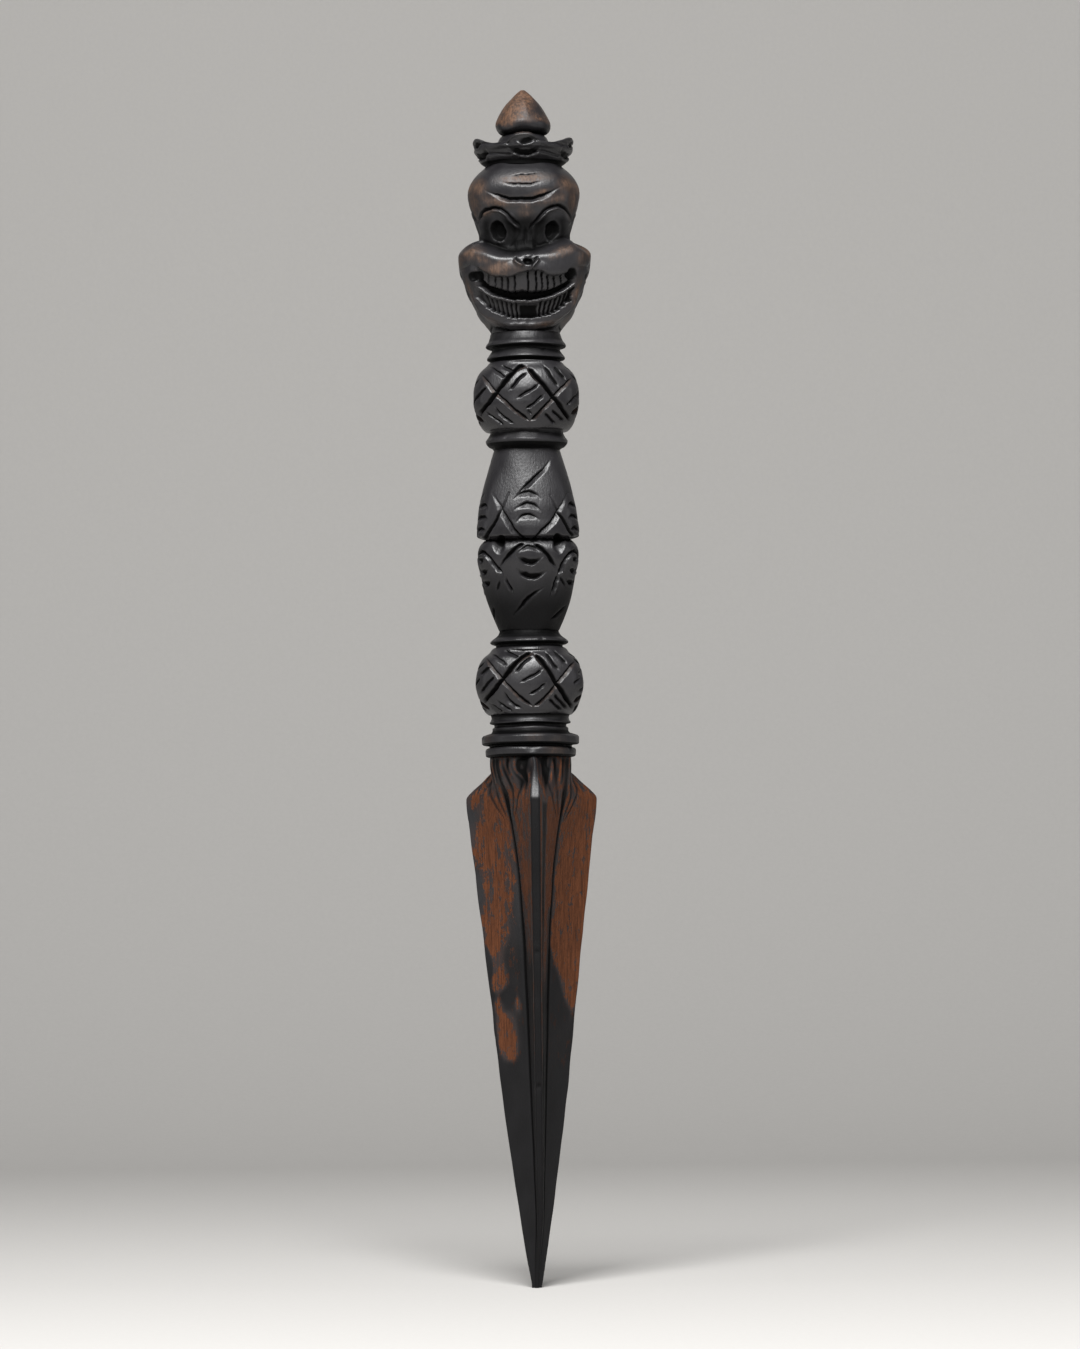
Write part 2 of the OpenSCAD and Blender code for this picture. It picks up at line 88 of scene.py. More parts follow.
def spot_share(squared):
    """Fades from 1 in a spot's middle to half at its edge, where the squared distance is 1."""
    return np.exp(-0.7 * squared)


def through(points, x):
    """Value at x on a smooth curve through (x, value) points, with no overshoot."""
    xs, ys = np.array(sorted(points), float).T
    rise = np.diff(ys) / np.diff(xs)
    slope = np.concatenate([rise[:1], (rise[1:] + rise[:-1]) / 2, rise[-1:]])
    turning = rise[1:] * rise[:-1] <= 0
    slope[1:-1][turning] = 0
    limit = 2.5 * np.minimum(np.abs(rise[1:]), np.abs(rise[:-1]))
    slope[1:-1] = np.clip(slope[1:-1], -limit, limit)
    i = np.clip(np.searchsorted(xs, x) - 1, 0, len(xs) - 2)
    span = xs[i + 1] - xs[i]
    t = np.clip((x - xs[i]) / span, 0, 1)
    start = ys[i] * (1 + 2 * t) * (1 - t) ** 2 + ys[i + 1] * t * t * (3 - 2 * t)
    return start + span * t * (1 - t) * (slope[i] * (1 - t) - slope[i + 1] * t)


def value_at(points, x):
    """Value at one x on such a curve."""
    return float(through(points, np.array([x]))[0])


def rounded_path(points, steps=4):
    """Points of a path with its bends rounded."""
    points = np.array(points, float)
    if len(points) < 3:
        return points
    ends = np.vstack([2 * points[0] - points[1], points, 2 * points[-1] - points[-2]])
    path = [points[0]]
    for a, b, c, d in zip(ends, ends[1:], ends[2:], ends[3:]):
        for k in range(1, steps + 1):
            t = k / steps
            path.append(0.5 * (2 * b + (c - a) * t + (2 * a - 5 * b + 4 * c - d) * t ** 2
                               + (3 * b - a - 3 * c + d) * t ** 3))
    return np.array(path)


def wobble(psi, z, size, seed):
    """Soft unevenness of hand carving, about -1 to 1, with bumps of about size millimetres."""
    rng = np.random.default_rng(seed)
    total = np.zeros(np.broadcast(psi, z).shape)
    # Waves run round and up a section about 28 mm across
    for _ in range(10):
        around = rng.integers(-4, 5) * max(1, round(28 / size / 2))
        total += np.sin(around * psi + rng.uniform(0.5, 1.3) * TURN * z / size / 2
                        + rng.uniform(0, TURN))
    return total / 4


def turned_to(psi, centre):
    """Angle from a side's middle, -180 to 180 degrees, in radians."""
    return (psi - centre + TURN / 2) % TURN - TURN / 2


# CARVING

def depth_of(name):
    """A depth of the carving from the settings, in millimetres."""
    return getattr(bpy.context.scene.phurba_sizes, name) / MM


class Carving:
    """Relief of one side of a section, over points seen at u and z."""

    def __init__(self, u, z, seed=1):
        rng = np.random.default_rng(seed)
        a, b = rng.uniform(0, TURN, 2)
        # A knife's line is never quite straight
        self.u = u + 0.09 * np.sin(z * 1.3 + a) + 0.05 * np.sin(z * 3.1 + u + b)
        self.z = z + 0.09 * np.sin(u * 1.1 + b) + 0.05 * np.sin(u * 2.7 - z + a)
        self.raised = np.zeros_like(u)
        self.sunk = np.zeros_like(u)
        self.worn = np.zeros_like(u)
        self.stain_and_shade = np.zeros_like(u)

    def near(self, path, reach):
        """Points close to a path: their numbers, distance, side and share of its length."""
        low, high = path.min(axis=0) - reach, path.max(axis=0) + reach
        pick = np.nonzero((self.u > low[0]) & (self.u < high[0])
                          & (self.z > low[1]) & (self.z < high[1]))[0]
        u, z = self.u[pick], self.z[pick]
        steps = np.diff(path, axis=0)
        lengths = np.hypot(steps[:, 0], steps[:, 1])
        best = np.full(u.shape, 1e9)
        side = np.zeros(u.shape)
        share = np.zeros(u.shape)
        run = 0.0
        for (au, az), (du, dz), length in zip(path, steps, lengths):
            t = np.clip(((u - au) * du + (z - az) * dz) / length ** 2, 0, 1)
            pu, pz = u - au - t * du, z - az - t * dz
            distance = np.hypot(pu, pz)
            closer = distance < best
            best = np.where(closer, distance, best)
            side = np.where(closer, np.sign(du * pz - dz * pu), side)
            share = np.where(closer, (run + t * length) / lengths.sum(), share)
            run += length
        return pick, best, side, share

    def darken(self, amount):
        """Keeps at least this much black, for stain and for painted shade."""
        self.stain_and_shade = np.maximum(self.stain_and_shade, amount)

    def cut(self, points, depth, upper, lower, taper=0.3, bare=0.0, shade=0.95):
        """V cut along a path. A path that runs to the right has its upper wall, which faces down
        and is painted black as shade and stain, on the left, and its lower wall, which catches the
        light, on the right."""
        pick, distance, side, share = self.near(rounded_path(points), max(upper, lower))
        full = np.ones_like(share)
        # A cut gets shallower and narrower toward its ends
        if taper:
            start, end = taper if isinstance(taper, tuple) else (taper, taper)
            full = smooth(np.minimum(share / start, (1 - share) / end)) * 0.85 + 0.15
        wall = np.where(side > 0, upper, lower) * (0.35 + 0.65 * full)
        near = np.clip(1 - distance / wall, 0, 1)
        self.sunk[pick] = np.maximum(self.sunk[pick], depth * full * near)
        # Painted shade and stain: the upper wall, which faces down, is black from its edge down,
        # the lower one only at the bottom of the cut
        above = smooth(near / 0.3)
        stain_and_shade = shade * full * np.where(side > 0, above, smooth((near - 0.72) / 0.2))
        self.stain_and_shade[pick] = np.maximum(self.stain_and_shade[pick], stain_and_shade)
        if bare:
            wear = bare * np.where(side > 0, 0, above)
            self.worn[pick] = np.maximum(self.worn[pick], wear)

    def ridge(self, points, height, width, taper=0.3):
        """Rounded ridge along a path."""
        pick, distance, _, share = self.near(rounded_path(points), 2.5 * width)
        full = smooth(np.minimum(share, 1 - share) / taper) if taper else 1.0
        self.raised[pick] += height * full * bump(distance, width)

    def oval(self, centre, half, lean=0.0):
        """How far each point is from an oval's centre, where its edge is 1."""
        du, dz = self.u - centre[0], self.z - centre[1]
        c, s = math.cos(math.radians(lean)), math.sin(math.radians(lean))
        return np.hypot((du * c + dz * s) / half[0], (dz * c - du * s) / half[1])

    def dome(self, centre, half, height, power=1.0):
        """Smooth bulge with an oval outline."""
        far = self.oval(centre, half)
        self.raised += height * np.clip(1 - far ** 2, 0, 1) ** power

    def hole(self, centre, half, depth, lean=0.0, soft=0.35):
        """Hollow with an oval outline and steep walls, painted black a little past its edge as
        shade and stain.
        """
        far = self.oval(centre, half, lean)
        self.sunk = np.maximum(self.sunk, depth * smooth((1 - far) / soft))
        self.darken(smooth((1.12 - far) / 0.2))

    def pit(self, centre, half, depth):
        """Hollow shaped like a cone. Its lower wall catches the light."""
        self.sunk = np.maximum(self.sunk, depth * np.clip(1 - self.oval(centre, half), 0, 1))

    def rub(self, centre, half, strength=1.0, lean=0.0):
        """Place where the stain is rubbed through."""
        far = self.oval(centre, half, lean)
        self.worn = np.maximum(self.worn, strength * spot_share(far ** 2))


def as_seen(radius, local, z):
    """Where a point on a side is seen: u across and z up."""
    forward = radius * np.cos(local)
    return (radius * np.sin(local) * (1 + forward / VIEW_AWAY),
            z + forward * (z - VIEW_HEIGHT) / (VIEW_AWAY - forward))


def carve_round(psi, z, radius, carve, centres=SIDES, half=60.0, soft=5.0, in_profile=1.0):
    """Carves the same relief on every side, and in_profile times as deep where it shapes the
    front view's outline. Gives the relief, the worn places and where stain and painted shade are
    black."""
    relief, worn, stain_and_shade = (np.zeros(psi.shape) for _ in range(3))
    for k, centre in enumerate(centres):
        local = turned_to(psi, centre)
        weight = smooth((math.radians(half + soft) - np.abs(local)) / math.radians(2 * soft))
        pick = weight > 0
        u, seen_z = as_seen(radius[pick], local[pick], z[pick])
        side = Carving(u, seen_z, seed=k + 1)
        carve(side)
        share = 1.0
        if k:
            from_front = np.degrees(np.abs(turned_to(psi[pick], 0)))
            share = in_profile + (1 - in_profile) * smooth((from_front - 100) / 35)
        relief[pick] += share * weight[pick] * (side.raised - side.sunk)
        worn[pick] += weight[pick] * side.worn
        stain_and_shade[pick] += weight[pick] * side.stain_and_shade
    return relief, worn, stain_and_shade


def three_sided(psi, w, full):
    """Radius of the three-sided section: w is half the width seen from the front."""
    wall_r = w - SIDE_FLAT * full + SIDE_BACK
    walls = []
    for centre in SIDES:
        local = turned_to(psi, centre)
        wall = -SIDE_BACK * np.cos(local)
        wall += np.sqrt(wall_r ** 2 - (SIDE_BACK * np.sin(local)) ** 2)
        walls.append(wall)
    walls.append(w * (1 + CORNER_SWELL * full) * np.ones(psi.shape))
    soft = 0.22
    return -soft * np.log(sum(np.exp(-wall / soft) for wall in walls))


def fullness(z, foot, height):
    """How far a three-sided section has gone from its round ends to its full shape."""
    return np.sqrt(np.sin(np.pi * np.clip((z - foot) / height, 0, 1)))


# BLANKS

def turn_blank(name, profile, columns):
    """Closed skin rolled up from a grid, through (radius, height) points from pole to pole, in
    millimetres. Gives the blank, which is its object with the row and the column of each vertex,
    and then the angle, the radius and the height of each row and column."""
    rows = len(profile) - 1
    bm = bmesh.new()
    row_layer = bm.verts.layers.int.new("row")
    bmesh.ops.create_grid(bm, x_segments=columns, y_segments=rows, size=1.0)
    for vert in bm.verts:
        row = round((vert.co.y + 1) / 2 * rows)
        angle = round((vert.co.x + 1) / 2 * columns) % columns / columns * TURN
        radius, height = profile[row]
        vert[row_layer] = row
        vert.co = (radius * math.sin(angle), -radius * math.cos(angle), height)
    bmesh.ops.remove_doubles(bm, verts=bm.verts, dist=1e-5)
    bmesh.ops.recalc_face_normals(bm, faces=bm.faces)
    mesh = bpy.data.meshes.new(name)
    bm.to_mesh(mesh)
    bm.free()
    place = np.zeros(3 * len(mesh.vertices))
    mesh.vertices.foreach_get("co", place)
    place = place.reshape(-1, 3)
    row = np.zeros(len(mesh.vertices), int)
    mesh.attributes["row"].data.foreach_get("value", row)
    mesh.attributes.remove(mesh.attributes["row"])
    angle = np.arctan2(place[:, 0], -place[:, 1])
    column = np.round(angle / TURN * columns).astype(int) % columns
    obj = bpy.data.objects.new(name, mesh)
    bpy.context.scene.collection.objects.link(obj)
    psi = np.tile(np.arange(columns) / columns * TURN, (len(profile), 1))
    radius, z = (np.tile(part[:, None], (1, columns)) for part in np.array(profile, float).T)
    return (obj, row, column), psi, radius, z


def blurred(grid, reach):
    """Mean over a square of rows and columns. Columns run round."""
    total = np.zeros_like(grid)
    for k in range(-reach, reach + 1):
        total += np.roll(grid, k, axis=1)
    padded = np.pad(total, ((reach, reach), (0, 0)), mode="edge")
    sums = sum(padded[k:k + len(grid)] for k in range(2 * reach + 1))
    return sums / (2 * reach + 1) ** 2


def set_shape(blank, x, y, z, relief, worn, stain_and_shade, reach, shade=0.3):
    """Moves a blank's vertices to their carved places, and keeps what its material reads:
    hollow is how black it is painted, for stain and for shade, and rub is how far it is worn."""
    obj, row, column = blank
    # Stain and painted shade gather in what lies below its surroundings, and what stands above
    # them is rubbed
    around = blurred(relief, reach)
    hollow = np.clip(stain_and_shade + shade * (around - relief) / 0.5, 0, 1)
    rub = np.clip(worn + 0.12 * np.clip((relief - around) / 0.35, 0, 1), 0, 1.5)
    mesh = obj.data
    place = np.stack([x, y, z], axis=-1)[row, column] * MM
    mesh.vertices.foreach_set("co", place.ravel())
    for name, grid in (("hollow", hollow), ("rub", rub)):
        layer = mesh.attributes.new(name, "FLOAT", "POINT")
        layer.data.foreach_set("value", grid[row, column].astype(np.float32))
    mesh.shade_smooth()
    mesh.update()
    return obj


def turned_places(psi, radius):
    """x and y at these angles and radii."""
    return radius * np.sin(psi), -radius * np.cos(psi)


def softened(points, step, least, passes):
    """Outline through (radius, height) points in short steps, with its corners softened."""
    rows = []
    for (r0, z0), (r1, z1) in zip(points, points[1:]):
        parts = max(least, round(math.hypot(r1 - r0, z1 - z0) / step))
        rows += [(r0 + (r1 - r0) * k / parts, z0 + (z1 - z0) * k / parts) for k in range(parts)]
    rows = np.array(rows + [points[-1]])
    for _ in range(passes):
        rows[1:-1] = (rows[:-2] + 2 * rows[1:-1] + rows[2:]) / 4
    return rows


def with_lids(side, lids):
    """Adds a flat lid, from the axis out to the first point, and one from the last point in."""
    (foot_r, foot), (top_r, top) = side[0], side[-1]
    return ([(foot_r * k / lids, foot) for k in range(lids)] + side
            + [(top_r * k / lids, top) for k in range(lids - 1, -1, -1)])


def upright_profile(foot, top, step, foot_r, top_r, lids=6):
    """Profile for a section whose radius is carved later: a flat foot, rows and a flat top."""
    rows = max(4, round((top - foot) / step))
    side = [(foot_r + (top_r - foot_r) * k / rows, foot + (top - foot) * k / rows)
            for k in range(rows + 1)]
    return with_lids(side, lids), lids


def flat_lids(lids, *grids):
    """Gives the rows of both lids the values of the row next to them."""
    for grid in grids:
        grid[:lids] = grid[lids]
        grid[-lids:] = grid[-lids - 1]


def lid_shares(shape, lids):
    """How far out each row lies: from 0 to 1 across the lids, and 1 on the side."""
    share = np.ones(shape)
    share[:lids] = (np.arange(lids) / lids)[:, None]
    share[-lids:] = (np.arange(lids - 1, -1, -1) / lids)[:, None]
    return share


def finish_piece(obj, node, wood="black_satin_stain"):
    """Gives a piece its wood, hides its node's CAD part, and ties it to the root body."""
    obj.data.materials.append(wood_named(wood))
    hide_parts(node)
    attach(obj, "root")


def carved_section(name, foot, top, step, columns, widths, carve, relief_reach, swelling=None,
                   corner_carve=None, uneven=0.1, seed=1, first_forms=None, in_profile=1.0):
    """Three-sided section with its sides carved. widths are (height, half its width) points, and
    swelling gives the foot and the height over which it swells to its full three-sided shape."""
    profile, lids = upright_profile(foot, top, step, value_at(widths, foot), value_at(widths, top))
    blank, psi, _, z = turn_blank(name, profile, columns)
    full = fullness(z, *(swelling or (foot, top - foot)))
    section = three_sided(psi, through(widths, z), full)
    section += uneven * wobble(psi, z, 9.0, seed)
    if first_forms:
        section = first_forms(psi, z, section)
    relief, worn, stain_and_shade = carve_round(psi, z, section, carve, in_profile=in_profile)
    if corner_carve:
        more, more_worn, more_stain_and_shade = carve_round(psi, z, section, corner_carve, CORNERS, 24.0, 4.0)
        relief += more
        worn = np.maximum(worn, more_worn)
        stain_and_shade = np.maximum(stain_and_shade, more_stain_and_shade)
    carved = np.minimum(section + relief, WIDEST / np.maximum(np.abs(np.sin(psi)), 0.7))
    flat_lids(lids, carved, relief, worn, stain_and_shade)
    x, y = turned_places(psi, carved * lid_shares(psi.shape, lids))
    return set_shape(blank, x, y, z, relief, worn, stain_and_shade, relief_reach)


def turned_ring(name, profile, columns, seed, uneven, chips, rubs):
    """Turned collar from (radius, height) points of its outline, foot to top, made uneven by
    hand. Chips are (angle, height, half width, depth) and rubs (angle, height, size, strength)."""
    outline = softened(profile, 0.16, 1, 2)
    lids = 4
    rows = with_lids([tuple(p) for p in outline], lids)
    blank, psi, radius, z = turn_blank(name, rows, columns)

    def away(angle, height, half):
        """Distance from a place on the ring, where it is 1 at half."""
        return np.hypot(turned_to(psi, math.radians(angle)) * radius, z - height) / half

    side = np.zeros(psi.shape)
    side[lids:-lids] = 1
    inside = smooth(np.minimum(z - z.min(), z.max() - z) / 0.6)
    wave = wobble(psi, z, 12.0, seed)
    grain = wobble(psi, z, 3.0, seed + 7)
    moved_z = z + inside * (0.14 * wave + uneven * np.cos(psi))
    moved_r = radius + side * (uneven * wave + 0.05 * grain)
    worn = np.zeros(psi.shape)
    for angle, height, half, depth in chips:
        moved_r -= side * depth * smooth(1 - away(angle, height, half)) * (1 + 0.3 * grain)
    for angle, height, half, strength in rubs:
        worn = np.maximum(worn, strength * spot_share(away(angle, height, half) ** 2))
    # Painted shade and stain where the outline lies deep below the ring's own edges
    edge = np.max([np.roll(outline[:, 0], k) for k in range(-9, 10)], axis=0)
    deep = 0.9 * np.clip((edge - outline[:, 0]) / 1.3, 0, 1) ** 1.3
    # Painted shade also covers an underside, out to the ring's edge, and the whole ring is
    # darkened a little
    rise = np.gradient(outline, axis=0)
    under = smooth((rise[:, 0] / np.hypot(rise[:, 0], rise[:, 1]) - 0.1) / 0.5)
    stain_and_shade = np.zeros(psi.shape)
    stain_and_shade[lids:-lids] = np.maximum(np.maximum(deep, 0.95 * under), 0.16)[:, None]
    x, y = turned_places(psi, moved_r)
    return set_shape(blank, x, y, moved_z, moved_r * side, worn, stain_and_shade, 3, 0.0)


# Each collar's piece, node, columns, unevenness, outline, chips and rubs
RINGS = (
    ("blade_rings", "base_collar", 300, 0.1, [
        (11.4, 151.2), (12.4, 151.3), (12.9, 151.7), (13.0, 153.2), (12.7, 153.8), (11.8, 154.0),
        (11.8, 154.6), (13.5, 154.8), (13.9, 155.2), (13.9, 156.9), (13.5, 157.4), (12.3, 157.8),
        (11.2, 158.1), (10.8, 158.6), (10.8, 159.5), (10.2, 159.8), (10.2, 160.5), (11.4, 160.75),
        (11.55, 161.1), (11.1, 161.6), (10.9, 162.4), (11.2, 163.3)],
     ((-80, 157.2, 1.7, 0.7), (60, 153.8, 1.4, 0.4), (2, 153.9, 2.6, 0.5)),
     ((35, 153.0, 3.4, 0.4), (5, 156.6, 2.6, 0.3), (-60, 156.5, 2.2, 0.35))),
    ("lower_ring", "lower_collar", 280, 0.08, [
        (10.7, 181.5), (10.4, 182.2), (9.6, 182.5), (9.5, 183.2), (10.6, 183.45), (11.2, 183.8),
        (11.15, 184.3), (10.5, 184.9), (9.6, 185.5), (8.9, 186.2), (8.4, 187.2)],
     ((20, 184.2, 1.2, 0.3),), ()),
    ("upper_ring", "upper_collar", 280, 0.08, [
        (9.2, 238.5), (9.6, 239.0), (10.8, 239.6), (11.5, 240.4), (11.7, 241.2), (11.3, 241.7),
        (10.8, 242.4), (10.4, 243.2), (10.3, 244.0), (10.6, 244.4)],
     ((-30, 240.8, 1.3, 0.3),), ()),
    ("neck_rings", "neck_collar", 280, 0.1, [
        (10.3, 263.3), (9.7, 263.6), (9.6, 264.1), (10.9, 264.3), (11.2, 264.7), (10.9, 265.2),
        (10.3, 266.0), (9.9, 266.6), (9.7, 267.0), (9.8, 267.6), (11.2, 267.8), (11.55, 268.2),
        (11.3, 268.8), (10.6, 269.6), (10.2, 270.6), (9.9, 271.8)],
     ((-84, 268.6, 2.2, 1.0), (30, 266.8, 1.2, 0.3)), ()),
)


# COLOURS AND MATERIALS

def linear(hex_colour):
    """Linear colour of an sRGB hex value, with its alpha."""
    parts = [int(hex_colour[i:i + 2], 16) / 255 for i in (1, 3, 5)]
    return tuple(p / 12.92 if p <= 0.04045 else ((p + 0.055) / 1.055) ** 2.4
                 for p in parts) + (1.0,)


def add(tree, kind, values=None, links=None, **settings):
    """Adds a node with its settings, its sockets' values and its links."""
    node = tree.nodes.new(kind)
    for name, value in settings.items():
        setattr(node, name, value)
    for socket, value in (values or {}).items():
        node.inputs[socket].default_value = value
    for socket, source in (links or {}).items():
        tree.links.new(source, node.inputs[socket])
    return node


def scaled(x, y, z):
    """Mapping scale for a pattern of this size in millimetres along each axis."""
    return (1000.0 / x, 1000.0 / y, 1000.0 / z)


def wood_noise(tree, place, width, length, detail, roughness):
    """Noise with spots of this width and length, in millimetres, up the fibres."""
    mapping = add(tree, "ShaderNodeMapping", {"Scale": scaled(width, width, length)},
                  {"Vector": place})
    return add(tree, "ShaderNodeTexNoise",
               {"Scale": 1.0, "Detail": detail, "Roughness": roughness},
               {"Vector": mapping.outputs["Vector"]}).outputs["Fac"]


def ranged(tree, value, low, high, to_low=0.0, to_high=1.0, **settings):
    """Maps low to high of a value onto another range, without going past it."""
    return add(tree, "ShaderNodeMapRange", {"From Min": low, "From Max": high, "To Min": to_low,
                                            "To Max": to_high},
               {"Value": value}, **settings).outputs["Result"]


def maths(tree, operation, *inputs):
    """Math node's result. Each input is a number or another node's output."""
    values = {k: part for k, part in enumerate(inputs) if isinstance(part, float)}
    links = {k: part for k, part in enumerate(inputs) if k not in values}
    return add(tree, "ShaderNodeMath", values, links, operation=operation).outputs[0]


def mixed(tree, share, a, b):
    """Mix of two colours, each a colour or another node's output."""
    values = {name: part for name, part in (("A", a), ("B", b)) if isinstance(part, tuple)}
    links = {name: part for name, part in (("A", a), ("B", b)) if not isinstance(part, tuple)}
    links["Factor"] = share
    return add(tree, "ShaderNodeMix", values, links, data_type="RGBA").outputs["Result"]


# The stain is gone where the wear passes this
WORN_THROUGH = 0.55


def carved_wood(name, bare_colour, haze, ragged, streak, gloss, dryness):
    """Hardwood carved by knife, stained black and rubbed through by handling. haze is how softly
    the stain thins out, ragged how far its flakes bend the worn place's outline, streak how much
    longer than wide a flake is, gloss the lowest roughness of the stain, and dryness what share
    of the shine bare wood keeps."""
    finish = bpy.context.scene.phurba_finish
    stain = tuple(finish.stain_colour) + (1.0,)
    stain_light = tuple(1.45 * c + 0.001 for c in finish.stain_colour) + (1.0,)
    bare_wood = tuple(bare_colour) + (1.0,)
    bare_dark = tuple(0.4 * c for c in bare_colour) + (1.0,)
    material = bpy.data.materials.new(name)
    material.use_nodes = True
    tree = material.node_tree
    tree.nodes.clear()
    out = add(tree, "ShaderNodeOutputMaterial")
    place = add(tree, "ShaderNodeTexCoord").outputs["Object"]
    # hollow is the black of stain and of painted shade, and rub is the wear
    hollow = add(tree, "ShaderNodeAttribute", attribute_name="hollow").outputs["Fac"]
    rub = add(tree, "ShaderNodeAttribute", attribute_name="rub").outputs["Fac"]

    # Fibres run up the object. The stain is cloudy, and flakes off in streaks
    fibre = wood_noise(tree, place, finish.fibre_width / MM, 8.0, 4.0, 0.6)
    tone = wood_noise(tree, place, 6.0, 11.0, 3.0, 0.55)
    flake_w = finish.flake_size / MM
    flake = wood_noise(tree, place, flake_w, streak * flake_w, 6.0, 0.7)
    grit = wood_noise(tree, place, 0.45, 0.8, 2.0, 0.5)

    # The flakes, the fibres and the grit each move the place where the stain is worn through
    spread = maths(tree, "MULTIPLY_ADD", flake, 0.7, -0.5)
    spread = maths(tree, "MULTIPLY_ADD", fibre, 0.15, spread)
    spread = maths(tree, "MULTIPLY_ADD", grit, 0.15, spread)
    passed = maths(tree, "MULTIPLY_ADD", spread, ragged, rub)
    gone = ranged(tree, passed, WORN_THROUGH - haze / 2, WORN_THROUGH + haze / 2,
                  interpolation_type="SMOOTHSTEP")
    kept = ranged(tree, hollow, 0.1, 0.7, 1.0, 0.1)
    touched = ranged(tree, rub, 0.04, 0.2)
    bare = maths(tree, "MULTIPLY", maths(tree, "MULTIPLY", gone, kept), touched)
    # Round the bare places the stain is thin, and brown shows through it
    thin = ranged(tree, rub, 0.1, 0.6, 0.0, 0.9 * min(1.0, 0.35 + haze))
    thin = maths(tree, "MULTIPLY", maths(tree, "MULTIPLY", thin, fibre), kept)
    bare = maths(tree, "MAXIMUM", bare, thin)

    stained = mixed(tree, ranged(tree, tone, 0.35, 0.7), stain, stain_light)
    wood = mixed(tree, ranged(tree, fibre, 0.3, 0.62), bare_dark, bare_wood)
    wood = mixed(tree, ranged(tree, grit, 0.3, 0.46, 0.6, 0.0), wood, bare_dark)
    surface = mixed(tree, bare, stained, wood)
    # Stain and painted shade turn the surface near black where hollow is high
    groove = tuple(finish.groove_and_shade_colour) + (1.0,)
    colour = mixed(tree, ranged(tree, hollow, 0.08, 0.8, 0.0, 0.96), surface, groove)

    matt = ranged(tree, tone, 0.3, 0.7, gloss, gloss + 0.1)
    matt = maths(tree, "MULTIPLY_ADD", bare, 0.2, matt)
    matt = maths(tree, "MULTIPLY_ADD", hollow, 0.2, matt)

    height = maths(tree, "MULTIPLY", fibre, 0.5)
    height = maths(tree, "MULTIPLY_ADD", grit, 0.35, height)
    height = maths(tree, "MULTIPLY_ADD", bare, -0.4, height)
    bump_map = add(tree, "ShaderNodeBump", {"Strength": 1.0, "Distance": finish.relief_depth},
                   {"Height": height})
    # Polished stain shines; dry wood, the stain down in the cuts and the painted shade hardly do
    shine = ranged(tree, hollow, 0.1, 0.8, 0.44, 0.06)
    shine = maths(tree, "MULTIPLY", shine, ranged(tree, bare, 0.0, 1.0, 1.0, dryness))
    shader = add(tree, "ShaderNodeBsdfPrincipled", {"IOR": 1.5},
                 {"Base Color": colour, "Roughness": matt, "Normal": bump_map.outputs["Normal"],
                  "Specular IOR Level": shine})
    tree.links.new(shader.outputs["BSDF"], out.inputs["Surface"])
    return material


def wood_named(name):
    """The three finishes of the one wood, each made once."""
    found = bpy.data.materials.get(name)
    if found:
        return found
    finish = bpy.context.scene.phurba_finish
    if name == "black_satin_stain":
        # Black stain over knife-cut hardwood, polished by hands: charcoal with satin lights
        return carved_wood(name, finish.handled_colour, haze=0.7, ragged=2.2, streak=1.4,
                           gloss=0.33, dryness=0.8)
    if name == "flaked_blade_stain":
        # The same stain on the broad blade, flaked off in long patches down to orange-brown wood
        return carved_wood(name, finish.worn_colour, haze=0.1, ragged=6.0, streak=1.9,
                           gloss=0.38, dryness=0.4)
    # The knob that fingers rub: smooth brown wood with the stain left, and shade painted, in its
    # low places
    bare = tuple(k * c for k, c in zip((1.3, 1.14, 0.98), finish.handled_colour))
    return carved_wood("rubbed_knob_wood", bare, haze=0.8, ragged=3.4, streak=1.2,
                       gloss=0.36, dryness=0.8)


# KNOTS

UPPER_KNOT_W = [(244.1, 11.8), (245.2, 12.7), (247.4, 13.8), (249.5, 14.6), (251.8, 15.1),
                (254.3, 15.1), (257.6, 14.4), (260.6, 12.9), (262.8, 10.8), (263.5, 10.4)]
LOWER_KNOT_W = [(162.6, 11.3), (163.3, 11.8), (164.5, 12.8), (167, 14.0), (169.6, 15.0),
                (171.9, 15.4), (174, 15.2), (176.7, 14.5), (179.3, 13.0), (181, 11.1),
                (182.2, 10.4)]


def knot_cuts(side, deep, shallow, short):
    """Diamonds between two deep and two shallow crossing cuts, filled with short strokes."""
    depth = depth_of("knot_cut")
    for path in deep:
        side.cut(path, 1.4 * depth, 0.95, 0.6, 0.08, bare=0.4)
    for path in shallow:
        side.cut(path, 0.85 * depth, 0.45, 0.9, 0.1, bare=0.3)
    for path in short:
        side.cut(path, 0.7 * depth, 0.34, 0.75, 0.2)


